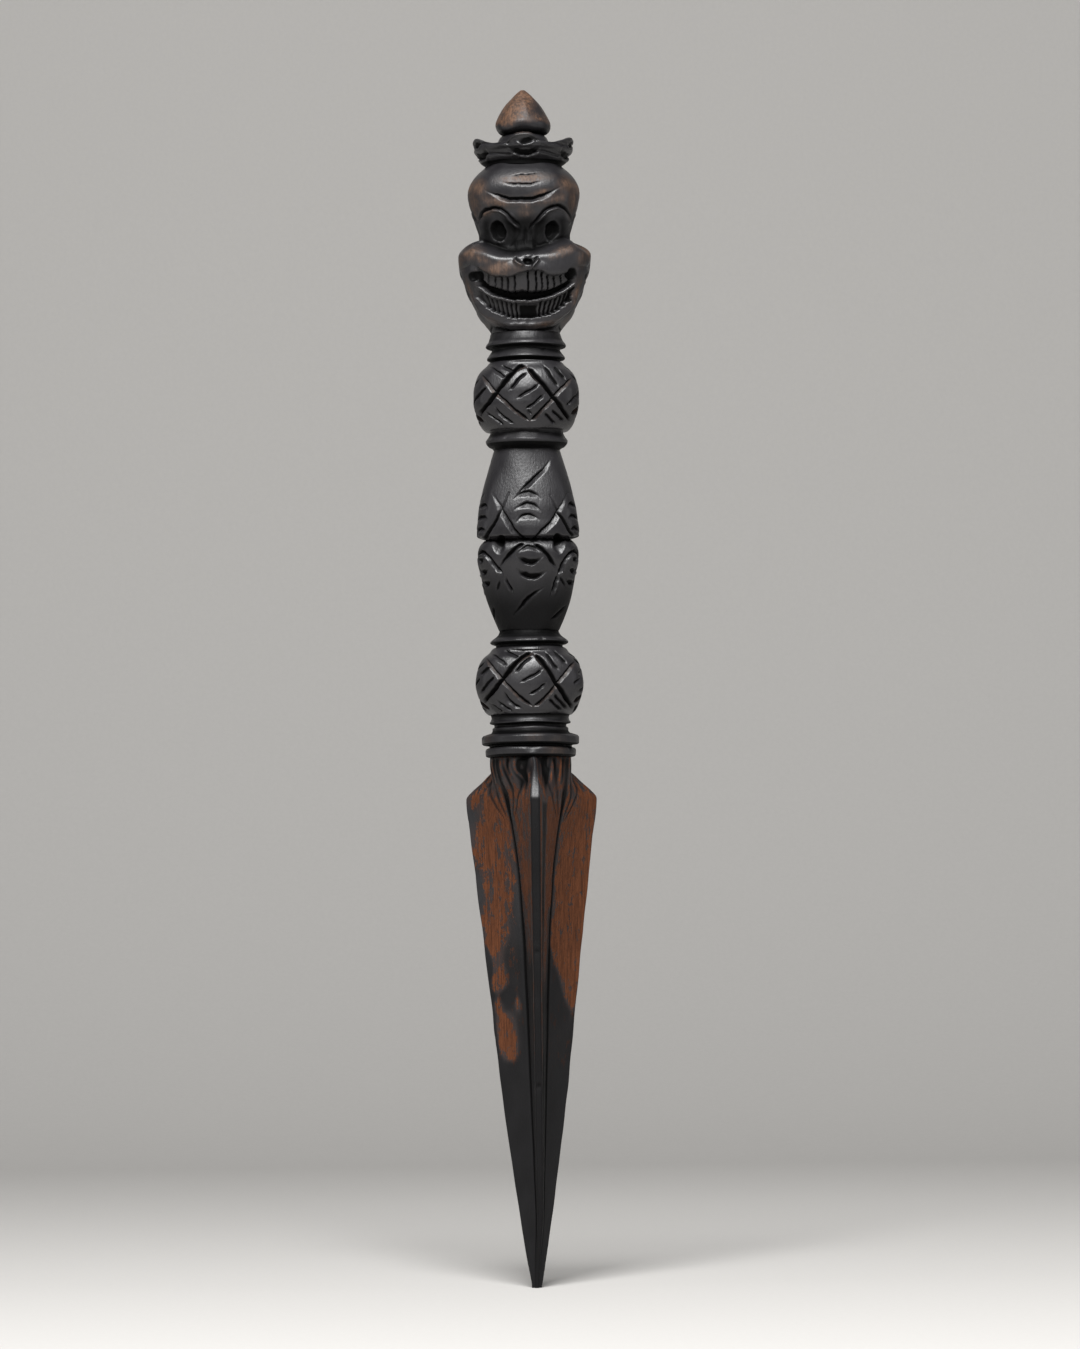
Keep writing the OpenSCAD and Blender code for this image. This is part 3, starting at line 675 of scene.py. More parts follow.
def upper_knot_cuts(side):
    knot_cuts(side, deep=(
        [(-13.8, 248.5), (-8.5, 255.2), (-2.9, 261.6), (0.1, 262.6)],
        [(0.3, 262.4), (3.6, 258.6), (7.7, 253.9), (12.6, 246.9)],
    ), shallow=(
        [(-12.7, 260.6), (-8.5, 255.2), (-2.4, 249.8), (0.9, 247.2)],
        [(0.9, 247.2), (4.2, 250.1), (7.7, 253.9), (13.1, 259.3)],
    ), short=(
        [(-4.9, 256.0), (-2.3, 259.0), (0.4, 260.9)], [(-2.7, 253.7), (3.6, 257.6)],
        [(-0.4, 250.5), (5.2, 254.7)], [(-10.1, 262.6), (-5.5, 259.3)],
        [(-7.1, 262.9), (-3.2, 261.3)], [(5.0, 262.9), (6.9, 260.6), (9.2, 256.7)],
        [(7.9, 262.9), (11.5, 258.6)], [(-14.8, 253.1), (-13.4, 255.0), (-11.5, 257.0)],
        [(11.4, 251.4), (14.7, 254.7)], [(13.0, 248.5), (14.5, 249.8)],
        [(-11.8, 250.1), (-6.3, 245.9)], [(-8.9, 251.4), (-7.0, 248.8), (-3.4, 246.5)],
        [(5.2, 249.5), (8.4, 246.2)], [(7.4, 250.5), (10.7, 246.9)],
    ))
    side.cut([(0.1, 250.4), (1.0, 249.7), (1.6, 248.9)], 0.4, 0.6, 0.4, shade=0.6)


def lower_knot_cuts(side):
    knot_cuts(side, deep=(
        [(-13.5, 166.5), (-7.7, 173.5), (-3.2, 178.6), (0.8, 181.0)],
        [(1.3, 180.7), (4.3, 177.3), (7.6, 172.2), (12.3, 164.8)],
    ), shallow=(
        [(-12.4, 179.6), (-7.7, 173.5), (-3.0, 168.8), (0.9, 165.8)],
        [(0.9, 165.8), (4.2, 168.1), (7.6, 172.1), (13.3, 178.8)],
    ), short=(
        [(-4.1, 175.6), (-1.3, 178.6), (0.7, 179.9)], [(-2.6, 172.7), (3.6, 176.3)],
        [(-0.4, 169.1), (4.9, 172.4)], [(-10.6, 180.9), (-6.5, 177.6)],
        [(-7.1, 181.7), (-2.9, 179.9)], [(4.5, 181.1), (8.5, 176.0)],
        [(7.0, 181.7), (10.8, 177.6)], [(-14.6, 174.7), (-11.4, 177.3)],
        [(-14.5, 169.6), (-10.0, 174.8)], [(12.6, 172.1), (15.0, 174.0)],
        [(5.5, 168.1), (9.0, 164.5)], [(7.0, 169.4), (10.7, 164.8)],
    ))
    for path in ([(-7.6, 170.1), (-5.3, 167.2), (-2.1, 165.2)],
                 [(-9.4, 167.8), (-7.3, 165.8), (-4.7, 164.4)], [(-11.2, 166.8), (-7.7, 164.2)]):
        side.cut(path, 0.75 * depth_of("knot_cut"), 0.35, 1.1, 0.28)


# GRIP

UPPER_GRIP_W = [(212.6, 12.0), (213.0, 12.6), (213.5, 14.2), (214, 14.6), (215.7, 14.6),
                (218.3, 14.3), (221.7, 13.9), (225.2, 13.1), (228.3, 12.3), (231.7, 11.3),
                (235.4, 10.2), (238.8, 9.2)]
LOWER_GRIP_W = [(187.2, 8.4), (188.1, 8.8), (190.4, 9.8), (192.4, 10.6), (195.8, 11.8),
                (199.8, 12.8), (202.6, 13.4), (205.2, 14.0), (206.8, 14.4), (208.6, 14.5),
                (210.2, 14.3), (211.6, 13.6), (212.6, 12.6)]


def grip_cuts(side, rows):
    """Cuts of the grip. Each row has a path, how deep it is, its walls and its taper."""
    depth = depth_of("grip_cut")
    for path, deep, upper, lower, taper in rows:
        side.cut(path, deep * depth, upper, lower, taper)


def upper_grip_cuts(side):
    grip_cuts(side, (
        ([(-3.6, 225.3), (-0.6, 228.6), (2.6, 231.6), (4.9, 233.6), (6.9, 236.4)],
         0.95, 0.35, 1.25, 0.4),
        ([(-3.4, 225.4), (-1.6, 226.6), (0.3, 227.1), (2.1, 226.6), (3.6, 225.2)],
         0.8, 0.38, 1.6, 0.35),
        ([(-3.5, 222.2), (-1.6, 223.3), (0.4, 223.8), (2.2, 223.2), (3.7, 221.6)],
         0.8, 0.38, 1.6, 0.35),
        ([(-3.0, 218.9), (-1.4, 220.2), (0.4, 220.6), (1.8, 220.2), (3.0, 219.2)],
         0.8, 0.38, 1.6, 0.35),
        ([(-13.0, 212.8), (-10.3, 216.8), (-7.6, 221.7), (-5.2, 226.8)],
         1.4, 0.8, 0.5, (0.02, 0.8)),
        ([(6.6, 226.0), (8.5, 221.6), (10.6, 217.9), (13.0, 214.0)], 1.3, 0.7, 0.5, (0.7, 0.05)),
        ([(-9.8, 226.8), (-6.9, 221.4), (-4.4, 217.3), (-1.6, 214.0), (0.6, 213.0)],
         1.15, 0.4, 1.5, (0.5, 0.04)),
        ([(0.9, 213.0), (3.3, 215.2), (6.2, 218.0), (8.6, 221.4), (11.4, 226.4)],
         1.15, 0.4, 1.5, (0.04, 0.5))))
    side.hole((-7.8, 213.2), (1.3, 1.5), 1.4)
    side.hole((8.5, 213.6), (1.3, 1.5), 1.4)
    # Painted shade: the undercut of the seam reaches up as a jagged dark line
    rag = 0.35 * np.sin(1.7 * side.u) + 0.25 * np.sin(4.1 * side.u + 1.0)
    side.darken(step_at(213.4 + 0.4 * rag - side.z, 0.3))


def lower_grip_cuts(side):
    grip_cuts(side, (
        ([(-3.3, 208.6), (-1.5, 207.0), (0.5, 206.4), (2.4, 206.9), (4.1, 208.2)],
         1.15, 1.6, 0.5, 0.35),
        ([(-3.5, 204.8), (-1.7, 203.1), (0.5, 202.4), (3.0, 202.7), (5.2, 204.1)],
         1.15, 1.6, 0.5, 0.35),
        ([(-2.6, 209.9), (-0.8, 211.2), (0.6, 211.5), (2.0, 211.1), (3.6, 209.8)],
         0.7, 0.35, 1.1, 0.3),
        ([(-8.6, 204.6), (-6.4, 208.0), (-3.4, 211.0), (-0.8, 212.0)], 1.3, 0.7, 0.6, (0.5, 0.1)),
        ([(-9.4, 198.4), (-8.0, 202.2)], 0.5, 0.3, 0.6, 0.4),
        ([(1.9, 212.0), (5.0, 209.4), (8.3, 205.0)], 1.4, 0.8, 0.6, (0.1, 0.3)),
        ([(9.0, 203.0), (10.8, 199.4)], 0.7, 0.35, 0.5, 0.4),
        ([(-14.6, 210.4), (-12.8, 209.9), (-10.2, 207.4), (-7.3, 203.6)],
         1.5, 0.4, 1.5, (0.1, 0.25)),
        ([(-6.5, 202.6), (-5.5, 200.4), (-4.3, 198.2)], 1.0, 0.3, 0.85, 0.35),
        ([(8.3, 203.2), (10.0, 206.6), (11.9, 209.4), (14.4, 210.6)], 1.5, 0.4, 1.5, (0.15, 0.1)),
        ([(6.2, 197.2), (7.2, 200.2), (8.3, 203.0)], 1.1, 0.3, 1.0, (0.5, 0.1)),
        ([(-4.4, 191.9), (-2.7, 193.9), (-0.6, 196.2), (1.6, 198.1), (4.4, 199.6)],
         1.0, 0.5, 0.7, 0.35),
        ([(6.0, 190.4), (9.2, 192.9), (11.4, 195.2)], 0.9, 0.4, 0.7, 0.35)))
    # Ridges beside the four strokes whose lower edges catch the light
    for path, height, width, taper in (
            ([(-14.4, 209.5), (-12.9, 208.8), (-10.8, 206.5), (-8.0, 203.0)], 0.5, 0.42, 0.15),
            ([(-6.9, 202.0), (-5.9, 199.9), (-4.8, 197.8)], 0.4, 0.35, 0.3),
            ([(8.9, 202.7), (10.7, 206.0), (12.3, 208.5), (14.2, 209.6)], 0.7, 0.5, 0.15),
            ([(6.8, 197.0), (7.8, 199.8), (8.8, 202.2)], 0.55, 0.42, 0.3)):
        side.ridge(path, height, width, taper)
    # Each pit is painted black in its upper part, as shade and stain
    for centre in (-8.2, 8.9):
        side.pit((centre, 212.4), (1.8, 3.4), 2.2)
        side.darken(smooth((1.1 - side.oval((centre, 212.9), (1.4, 1.5))) / 0.3))
    # Painted shade of the seam's groove, as a jagged dark line along the top
    rag = 0.3 * np.sin(1.9 * side.u + 2.0) + 0.2 * np.sin(4.3 * side.u)
    side.darken(step_at(side.z - 212.75 - 0.5 * rag, 0.3))
    # Painted shade: low on the grip, where the surface faces down, it is darker
    side.darken(0.7 * smooth((209 - side.z) / 16))


def corner_arcs(side, arcs, way, upper, lower):
    """Three arcs over a corner of the grip, with their ends down, 1, or up, -1."""
    grip_cuts(side, [([(-half, z - way * 1.3), (-0.5 * half, z - way * 0.3), (0, z),
                       (0.5 * half, z - way * 0.3), (half, z - way * 1.3)],
                      1.0, upper, lower, 0.35) for z, half in arcs])


def upper_grip_corner_cuts(side):
    corner_arcs(side, ((217.4, 2.6), (220.8, 2.9), (224.2, 2.5)), 1, 0.4, 1.5)


def lower_grip_corner_cuts(side):
    corner_arcs(side, ((207.6, 1.8), (204.2, 2.1), (200.9, 2.2)), -1, 1.5, 0.4)


# HEAD

HEAD_W = [(271.8, 9.8), (273.2, 10.2), (274.2, 10.9), (275.7, 12.4), (278.4, 14.2), (281.3, 15.7),
          (284.2, 16.9), (287, 17.8), (289, 18.2), (291, 17.8), (293.5, 15.0), (296, 13.2),
          (299, 13.0), (301.6, 13.7), (304.5, 14.6), (307.8, 15.3), (310.4, 15.7), (312.5, 15.5),
          (315.1, 14.4), (317.3, 12.7), (318.8, 11.1), (320.4, 9.6)]
CHEEK_TOP = [(-20, 297.0), (-17.9, 296.8), (-14.3, 298), (-12, 298), (-9.4, 297.3),
             (-6.4, 295.8), (-3.1, 295.3), (0.8, 295.8), (4, 296.3), (7.3, 297.6), (10.6, 298.6),
             (12.9, 298.9), (15.5, 298.1), (18, 297.2), (20, 297.0)]
CHEEK_FOOT = [(-20, 290.9), (-16.5, 291.2), (-15.2, 291.9), (-12.6, 290.4), (-10, 289.1),
              (-7.8, 288.4), (-5.1, 288.4), (-2.5, 289.1), (-0.6, 289.7), (1.7, 290.2),
              (4.3, 290.1), (7.3, 288.8), (9.9, 288.6), (12.2, 289.4), (14.5, 290.7),
              (16.5, 291.0), (20, 290.9)]
TEETH_FOOT = [(-16, 289.5), (-13, 287.6), (-11.4, 286.1), (-9.4, 285.5), (-6.4, 284.5),
              (-3.8, 284.2), (-0.5, 284.4), (3.6, 284.2), (7, 284.5), (10.5, 285.5),
              (12.2, 286.5), (14, 288), (16, 289.5)]
GUM_TOP = [(-16, 287.3), (-13.4, 285.5), (-10.1, 283.5), (-5.9, 282.2), (-1.3, 281.7),
           (3.6, 281.9), (7.2, 282.7), (10.8, 283.9), (14.4, 286.4), (16, 287.5)]
LIP_TOP = [(-18, 287.5), (-15.7, 285.6), (-13.4, 281.9), (-11.1, 279.9), (-7.9, 278),
           (-4.6, 276.8), (-1.4, 276.5), (3.5, 276.7), (6.8, 277.5), (10.1, 279), (12.4, 281.2),
           (14.9, 284.8), (18, 287.5)]
LIP_FOOT = [(-18, 283.5), (-15.5, 281.6), (-13.4, 279.2), (-11.1, 276.3), (-7.9, 274.6),
            (-4, 273.5), (0.2, 273.3), (4.1, 273.5), (8.1, 274.8), (11, 276.9), (13.3, 279.2),
            (15.5, 281.6), (18, 283.5)]
# Half the width of the head at the crest of the cheeks
CREST_W = 18.85


def cheek_roll(psi, z, section):
    """Adds the thick roll of the cheeks, which rides over the mouth on every side."""
    rolled = section
    for _ in range(2):
        total = np.zeros(psi.shape)
        for centre in SIDES:
            local = turned_to(psi, centre)
            weight = smooth((math.radians(65) - np.abs(local)) / math.radians(10))
            u, seen_z = as_seen(rolled, local, z)
            top, foot = through(CHEEK_TOP, u), through(CHEEK_FOOT, u)
            share = (2 * seen_z - top - foot) / (top - foot)
            crest = three_sided(psi, np.full(psi.shape, CREST_W), np.ones(psi.shape))
            crest = crest - 1.1 * smooth((11 - np.abs(u)) / 9)
            rise = np.maximum(crest - section, 0)
            # The roll is full at its crest and turns in quickly at its foot, over the teeth
            fall = np.where(share > 0, np.abs(share) ** 2.0, np.abs(share) ** 3.0)
            power = 0.7 + 0.5 * (share > 0) * smooth((13 - np.abs(u)) / 6)
            total += weight * rise * np.clip(1 - fall, 0, 1) ** power
        rolled = section + total
    return rolled


def forehead(side, line):
    """Two thin lines, the main furrow with its ridge, and the wedge between the brows."""
    side.cut([(-3.9, 317.0), (0.5, 317.3), (5.4, 317.8)], 0.25 * line, 0.3, 0.5)
    side.cut([(-6.6, 315.3), (-2, 314.7), (2, 314.8), (5.6, 315.5)], 0.4 * line, 0.32, 0.6)
    side.cut([(-10.8, 313.1), (-6.8, 311.3), (-3.5, 310.6), (1.6, 310.6), (5.2, 311.3),
              (10.3, 313.6)], 1.2 * line, 0.55, 1.2, 0.25)
    side.ridge([(-9.5, 310.6), (-5.5, 309.2), (1, 308.7), (6, 309.4), (9.5, 311)], 0.4, 1.1)
    side.ridge([(1.0, 309.0), (0.9, 304.5)], 0.35, 1.0)


def eyes(side, line):
    """Brow arcs, with the eyeballs full up to their lower edge, and the pierced pupils."""
    u, z = side.u, side.z
    left_brow = [(-12.9, 303.6), (-12.3, 305.9), (-11.2, 307.1), (-10, 307.6), (-8.3, 307.8),
                 (-5.7, 306.9), (-3.6, 304.9), (-0.9, 302.2)]
    right_brow = [(1.3, 301.6), (2.9, 303.5), (5.1, 306), (6.9, 307.5), (9.4, 308.2),
                  (11.6, 307.5), (12.7, 305.6), (13.3, 303.2)]
    for brow, centre in ((left_brow, -7.2), (right_brow, 7.7)):
        below = step_at(through(brow, u) - z, 1.0)
        near = smooth((5.6 - np.abs(u - centre)) / 1.6)
        above_cheek = step_at(z - through(CHEEK_TOP, u) - 0.2, 0.8)
        side.raised -= 0.5 * below * near * above_cheek
        side.dome((centre, 302.0), (5.8, 6.0), 0.9, 0.7)
        lid = [(p[0] * 0.95 + 0.05 * centre, p[1] - 0.7) for p in brow[1:]]
        side.ridge(lid, 0.8, 0.4, 0.1)
        side.cut(brow, 0.8 * line, 0.85, 0.3, 0.12, shade=0.6)
        side.ridge([(p[0] * 1.02, p[1] + 1.7) for p in brow[1:-1]], 0.3, 0.9)
    side.cut([(0.3, 302.6), (0.3, 299.5), (0.4, 297.0)], 0.35 * line, 0.9, 0.9, 0.3, shade=0.6)
    # Painted shade: the hollow under the brows lies in the dark, and so does the foot of the
    # nose's bridge
    shadow = step_at(z - through(CHEEK_TOP, u) + 0.9, 1.6) * step_at(305.5 - z, 4.0)
    side.darken(0.74 * shadow * smooth((13.5 - np.abs(u)) / 3.0))
    bridge_foot = smooth((3.4 - np.abs(u - 0.5)) / 1.2) * step_at(299.5 - z, 3.0)
    side.darken(0.95 * bridge_foot * step_at(z - through(CHEEK_TOP, u) + 0.3, 0.8))
    side.hole((-7.3, 301.3), (2.3, 3.2), 1.8, 16, 0.45)
    side.hole((7.8, 301.4), (2.1, 2.95), 1.8, -14, 0.45)
    for centre in (-6.6, 7.3):
        side.ridge([(centre - 1.3, 298.3), (centre, 297.9), (centre + 1.3, 298.4)], 0.4, 0.35)
    side.cut([(-16.5, 297.3), (-14.3, 298.3), (-12, 298.3), (-9.4, 297.6), (-6.4, 296.1),
              (-3.1, 295.6), (0.8, 296.1), (4, 296.6), (7.3, 297.9), (10.6, 298.9), (12.9, 299.2),
              (16, 298.2)], 0.25 * line, 1.0, 0.9, 0.05, shade=0.6)


def nose(side):
    """Cap over two flared wings, round a dark hollow, on the roll of the cheeks."""
    side.dome((0.6, 295.2), (2.4, 1.5), 0.5)
    side.hole((1.0, 292.6), (1.5, 1.0), 1.2, 0, 0.6)
    for path in ([(-3.0, 293.7), (-1.9, 292.4), (-0.3, 291.3)],
                 [(1.6, 290.7), (2.6, 292.0), (4.3, 293.8)]):
        side.cut([(p[0], p[1] + 0.3) for p in path], 0.5, 0.7, 0.3, 0.2, shade=0.7)
        side.ridge([(p[0], p[1] - 0.3) for p in path], 1.0, 0.5, 0.2)


def mouth(side, line):
    """Level by level from the cheeks' foot down: teeth, gap, gum, teeth, lip."""
    u, z = side.u, side.z
    reach = np.minimum(14.4, through(HEAD_W, z) - 1.9)
    inside = smooth((reach - np.abs(u - 0.2)) / 1.0)
    cheek_foot, teeth_foot, gum_top, lip_top, lip_foot = (
        through(edge, u) for edge in (CHEEK_FOOT, TEETH_FOOT, GUM_TOP, LIP_TOP, LIP_FOOT))
    gap = depth_of("mouth_gap_depth")
    side.raised += inside * sum(rise * step_at(edge - z, soft) for rise, edge, soft in (
        (-1.15, cheek_foot - 0.1, 0.5), (1.15 - gap, teeth_foot, 0.35),
        (gap - 0.35, gum_top, 0.35), (-0.85, gum_top - 1.05, 0.35), (1.2, lip_top, 0.4)))
    # Painted shade deep in the gap between the rows of teeth
    dark = step_at(teeth_foot - 0.2 - z, 0.6) * step_at(z - gum_top - 0.2, 0.6)
    side.darken(0.95 * inside * dark)
    # A little painted shade over the lower teeth
    side.darken(0.22 * inside * step_at(gum_top - 1.1 - z, 0.4) * step_at(z - lip_top, 0.5))
    # The dark patch in the middle of the lower row
    patch = smooth((3.2 - np.abs(u - 1.0)) / 1.0)
    patch *= step_at(gum_top - 1.6 - z, 0.4) * step_at(z - lip_top, 0.4)
    side.raised -= 0.5 * patch
    side.darken(0.9 * patch)
    # The lower lip slopes out like a shelf, down to a rounded edge
    share = np.clip((2 * z - lip_top - lip_foot) / (lip_top - lip_foot), -1, 1)
    fade = smooth((16.6 - np.abs(u)) / 3.0)
    shelf = np.where(share > -0.35, (1 - share) / 1.35, ((1 + share) / 0.65) ** 0.6)
    side.raised += 1.6 * fade * shelf
    for at in (-11.4, -9.3, -7.3, -5.4, -3.2, 1.0, 3.6, 5.4, 7.2, 9.2, 11.3):
        top, foot = value_at(CHEEK_FOOT, at), value_at(TEETH_FOOT, at)
        side.cut([(at * 0.97, top - 0.3), (at, foot - 0.3)], 1.0, 0.32, 0.32, 0.0)
    # The lower row has evenly spaced gaps, but for the dark patch
    for k in range(-8, 10):
        at = 1.0 + 1.55 * (k - 0.5)
        top, foot = value_at(GUM_TOP, at) - 1.1, value_at(LIP_TOP, 0.88 * at)
        if abs(at - 1.0) >= 2.8 and top - foot > 0.8:
            side.cut([(at, top), (0.88 * at, foot)], 0.7, 0.38, 0.38, 0.0)
    # Corners of the mouth
    side.hole((-14.1, 288.5), (1.9, 1.6), 1.2, -12, 0.5)
    side.hole((13.6, 289.0), (1.4, 1.8), 1.2, 10, 0.5)
    side.cut([(-10.6, 275.2), (-8.2, 273.6), (-4, 272.7), (0.2, 272.5), (4.2, 272.7),
              (8.2, 273.7), (10.6, 275.4)], 0.8 * line, 0.7, 0.5, 0.2)


def face(side):
    line = depth_of("furrow_depth")
    forehead(side, line)
    eyes(side, line)
    nose(side)
    mouth(side, line)
    # Where hands have rubbed the stain off
    for centre, half, strength, lean in (
            ((0.3, 316.2), (6.0, 1.2), 0.85, 3), ((-13.0, 313.6), (2.2, 2.4), 0.75, 0),
            ((-14.6, 309.0), (2.2, 3.4), 0.5, 0), ((12.6, 314.4), (2.6, 2.0), 0.8, 0),
            ((14.6, 309.5), (1.6, 4.0), 0.75, 0), ((5.0, 312.2), (2.6, 0.9), 0.55, 12),
            ((-8.5, 310.0), (5.0, 1.4), 0.6, -14), ((8.8, 310.4), (4.6, 1.3), 0.5, 16),
            ((-10.5, 306.3), (2.6, 1.1), 0.5, 30), ((0.4, 306.6), (2.0, 2.2), 0.55, 0),
            ((-15.6, 295.2), (3.2, 1.7), 0.8, 0), ((-12.6, 293.6), (3.0, 1.2), 0.6, -20),
            ((-7.2, 290.9), (3.4, 1.5), 0.95, 8), ((-2.6, 290.8), (2.0, 1.0), 0.5, 0),
            ((11.0, 295.3), (3.4, 1.2), 0.7, 20), ((16.4, 293.0), (1.4, 2.6), 0.5, 0),
            ((-16.2, 284.5), (0.9, 4.0), 0.5, 20), ((15.2, 284.0), (1.0, 4.4), 0.65, -22),
            ((-9.5, 275.8), (3.0, 0.8), 0.4, -30), ((6.0, 274.6), (4.0, 0.8), 0.4, 12)):
        side.rub(centre, half, strength, lean)


# BLADE

BLADE_TOP = 151.2
NECK_R = 11.6
# Share of a flange's angle that its edge's flat takes up
FLAT_SHARE = 0.12
# The front edge and the valleys beside it stand this much to the right of the middle
FRONT_SHIFT = 1.2
REACH = [(0, 1.3), (11.4, 3.5), (30, 6.6), (53.6, 10.2), (85, 14.1), (116.3, 18.1), (130, 19.9),
         (137, 20.75), (139.6, 20.8), (142.0, 18.8), (144.0, 16.3), (146.0, 14.1), (147.6, 12.5),
         (149.2, 11.8), (151.2, 11.5)]
VALLEY = [(0, 0.6), (30, 1.5), (60, 2.5), (85, 3.4), (96, 3.9), (104, 4.5), (116, 5.5),
          (123, 6.4), (131, 7.7), (139, 9.5), (145, 10.7), (151.2, 11.2)]
EDGE_HALF = [(0, 0.55), (40, 0.95), (90, 1.15), (125, 1.4), (139.9, 1.4), (145, 0.95), (149, 0.5),
             (151.2, 0.4)]
# The front edge's bright slope, from the shoulder up to the collar
WEDGE = [(139.0, 20.8), (142.6, 19.0), (146.2, 16.6), (149.0, 14.0), (151.2, 11.9)]
# Where the bare wood starts and ends across a face, from its edge, 0, to its valley, 1
LEFT_START = [(60, 0.1), (77.9, 0.1), (79.8, 0.07), (87.8, 0.1), (94.6, 0.1), (103.5, 0.06),
              (111, 0.09), (118, 0.06), (126, 0.1), (133.8, 0.11), (138, 0.13)]
LEFT_END = [(60, 0.2), (77.9, 0.2), (82.8, 0.32), (89.8, 0.38), (93.6, 0.33), (101.5, 0.54),
            (109.3, 0.62), (113.2, 0.85), (121, 0.97), (137, 1.02)]
RIGHT_END = [(60, 0.15), (77.5, 0.17), (81.8, 0.38), (89.8, 0.68), (94, 0.85), (98.6, 1.0),
             (106, 1.0), (121, 0.98), (137, 0.95)]


def worn_places(s, z, boxes, spots):
    """Wear over a face from boxes, each with its strength, its range of s, its range of z and how
    softly it fades along both, and from spots, each with its strength, middle and half sizes."""
    worn = 0.0
    for strength, s0, s1, z0, z1, soft_s, soft_z in boxes:
        worn = worn + (strength * step_at(s - s0, soft_s) * step_at(s1 - s, soft_s)
                       * step_at(z - z0, soft_z) * step_at(z1 - z, soft_z))
    for strength, s0, z0, half_s, half_z in spots:
        worn = worn + strength * spot_share(((s - s0) / half_s) ** 2 + ((z - z0) / half_z) ** 2)
    return worn


def blade_wear(flange, way, s, z):
    """Wear of the blade's six faces. s runs from the edge, 0, to the valley, 1."""
    neck = 0.47 * step_at(z - 137.0, 6) - 0.12 * step_at(z - 144, 4)
    left = worn_places(
        s, z, ((1, through(LEFT_START, z), through(LEFT_END, z), 78.5, 138.5, 0.46, 9),
               (0.22, 0.1, 0.85, 66, 112, 0.2, 8), (0.95, 0.16, 0.58, 65.5, 77.0, 0.36, 7.0)),
        ((-0.9, 0.08, 114.2, 0.09, 4.0), (-0.8, 0.34, 114, 0.06, 3.6),
         (-0.6, 0.2, 135.0, 0.2, 2.6), (-0.4, 0.8, 122, 0.2, 9), (-0.62, 0.25, 83.2, 0.4, 1.8),
         (-0.7, 0.1, 92, 0.14, 4.0), (0.45, 0.72, 81.5, 0.08, 2.2)))
    right = worn_places(
        s, z, ((1, 0.03, through(RIGHT_END, z) - 0.06, 77.5, 138.5, 0.4, 12),
               (0.2, 0.1, 0.9, 62, 104, 0.2, 10), (0.35, 0.0, 0.12, 84, 138, 0.1, 8),
               (-0.08, 0.0, 1.0, 76, 95, 0.3, 12)),
        ((-0.35, 0.3, 131, 0.12, 4.0), (-0.5, 0.7, 139, 0.2, 2.0)))
    front_left = worn_places(s, z, ((0.62, 0.08, 0.85, 112, 137, 0.2, 10),
                                    (0.42, 0.05, 0.9, 92, 120, 0.3, 12)), ())
    front_right = worn_places(
        s, z, ((0.95, 0.38 + 0.005 * (137 - z), 1.0, 109, 137, 0.2, 9),
               (0.5, 0.3, 0.8, 86, 112, 0.2, 12), (0.7, 0.14, 0.38, 66, 104, 0.12, 8)), ())
    front = np.where(way < 0, front_left, front_right)
    side_way = np.where(flange == 1, -way, way)
    # Each side flange shows one face to the front and one to the back
    wear = np.where(flange == 0, front, np.where((flange == 1) == (side_way > 0), right, left))
    return np.clip(wear + neck, 0, 1)


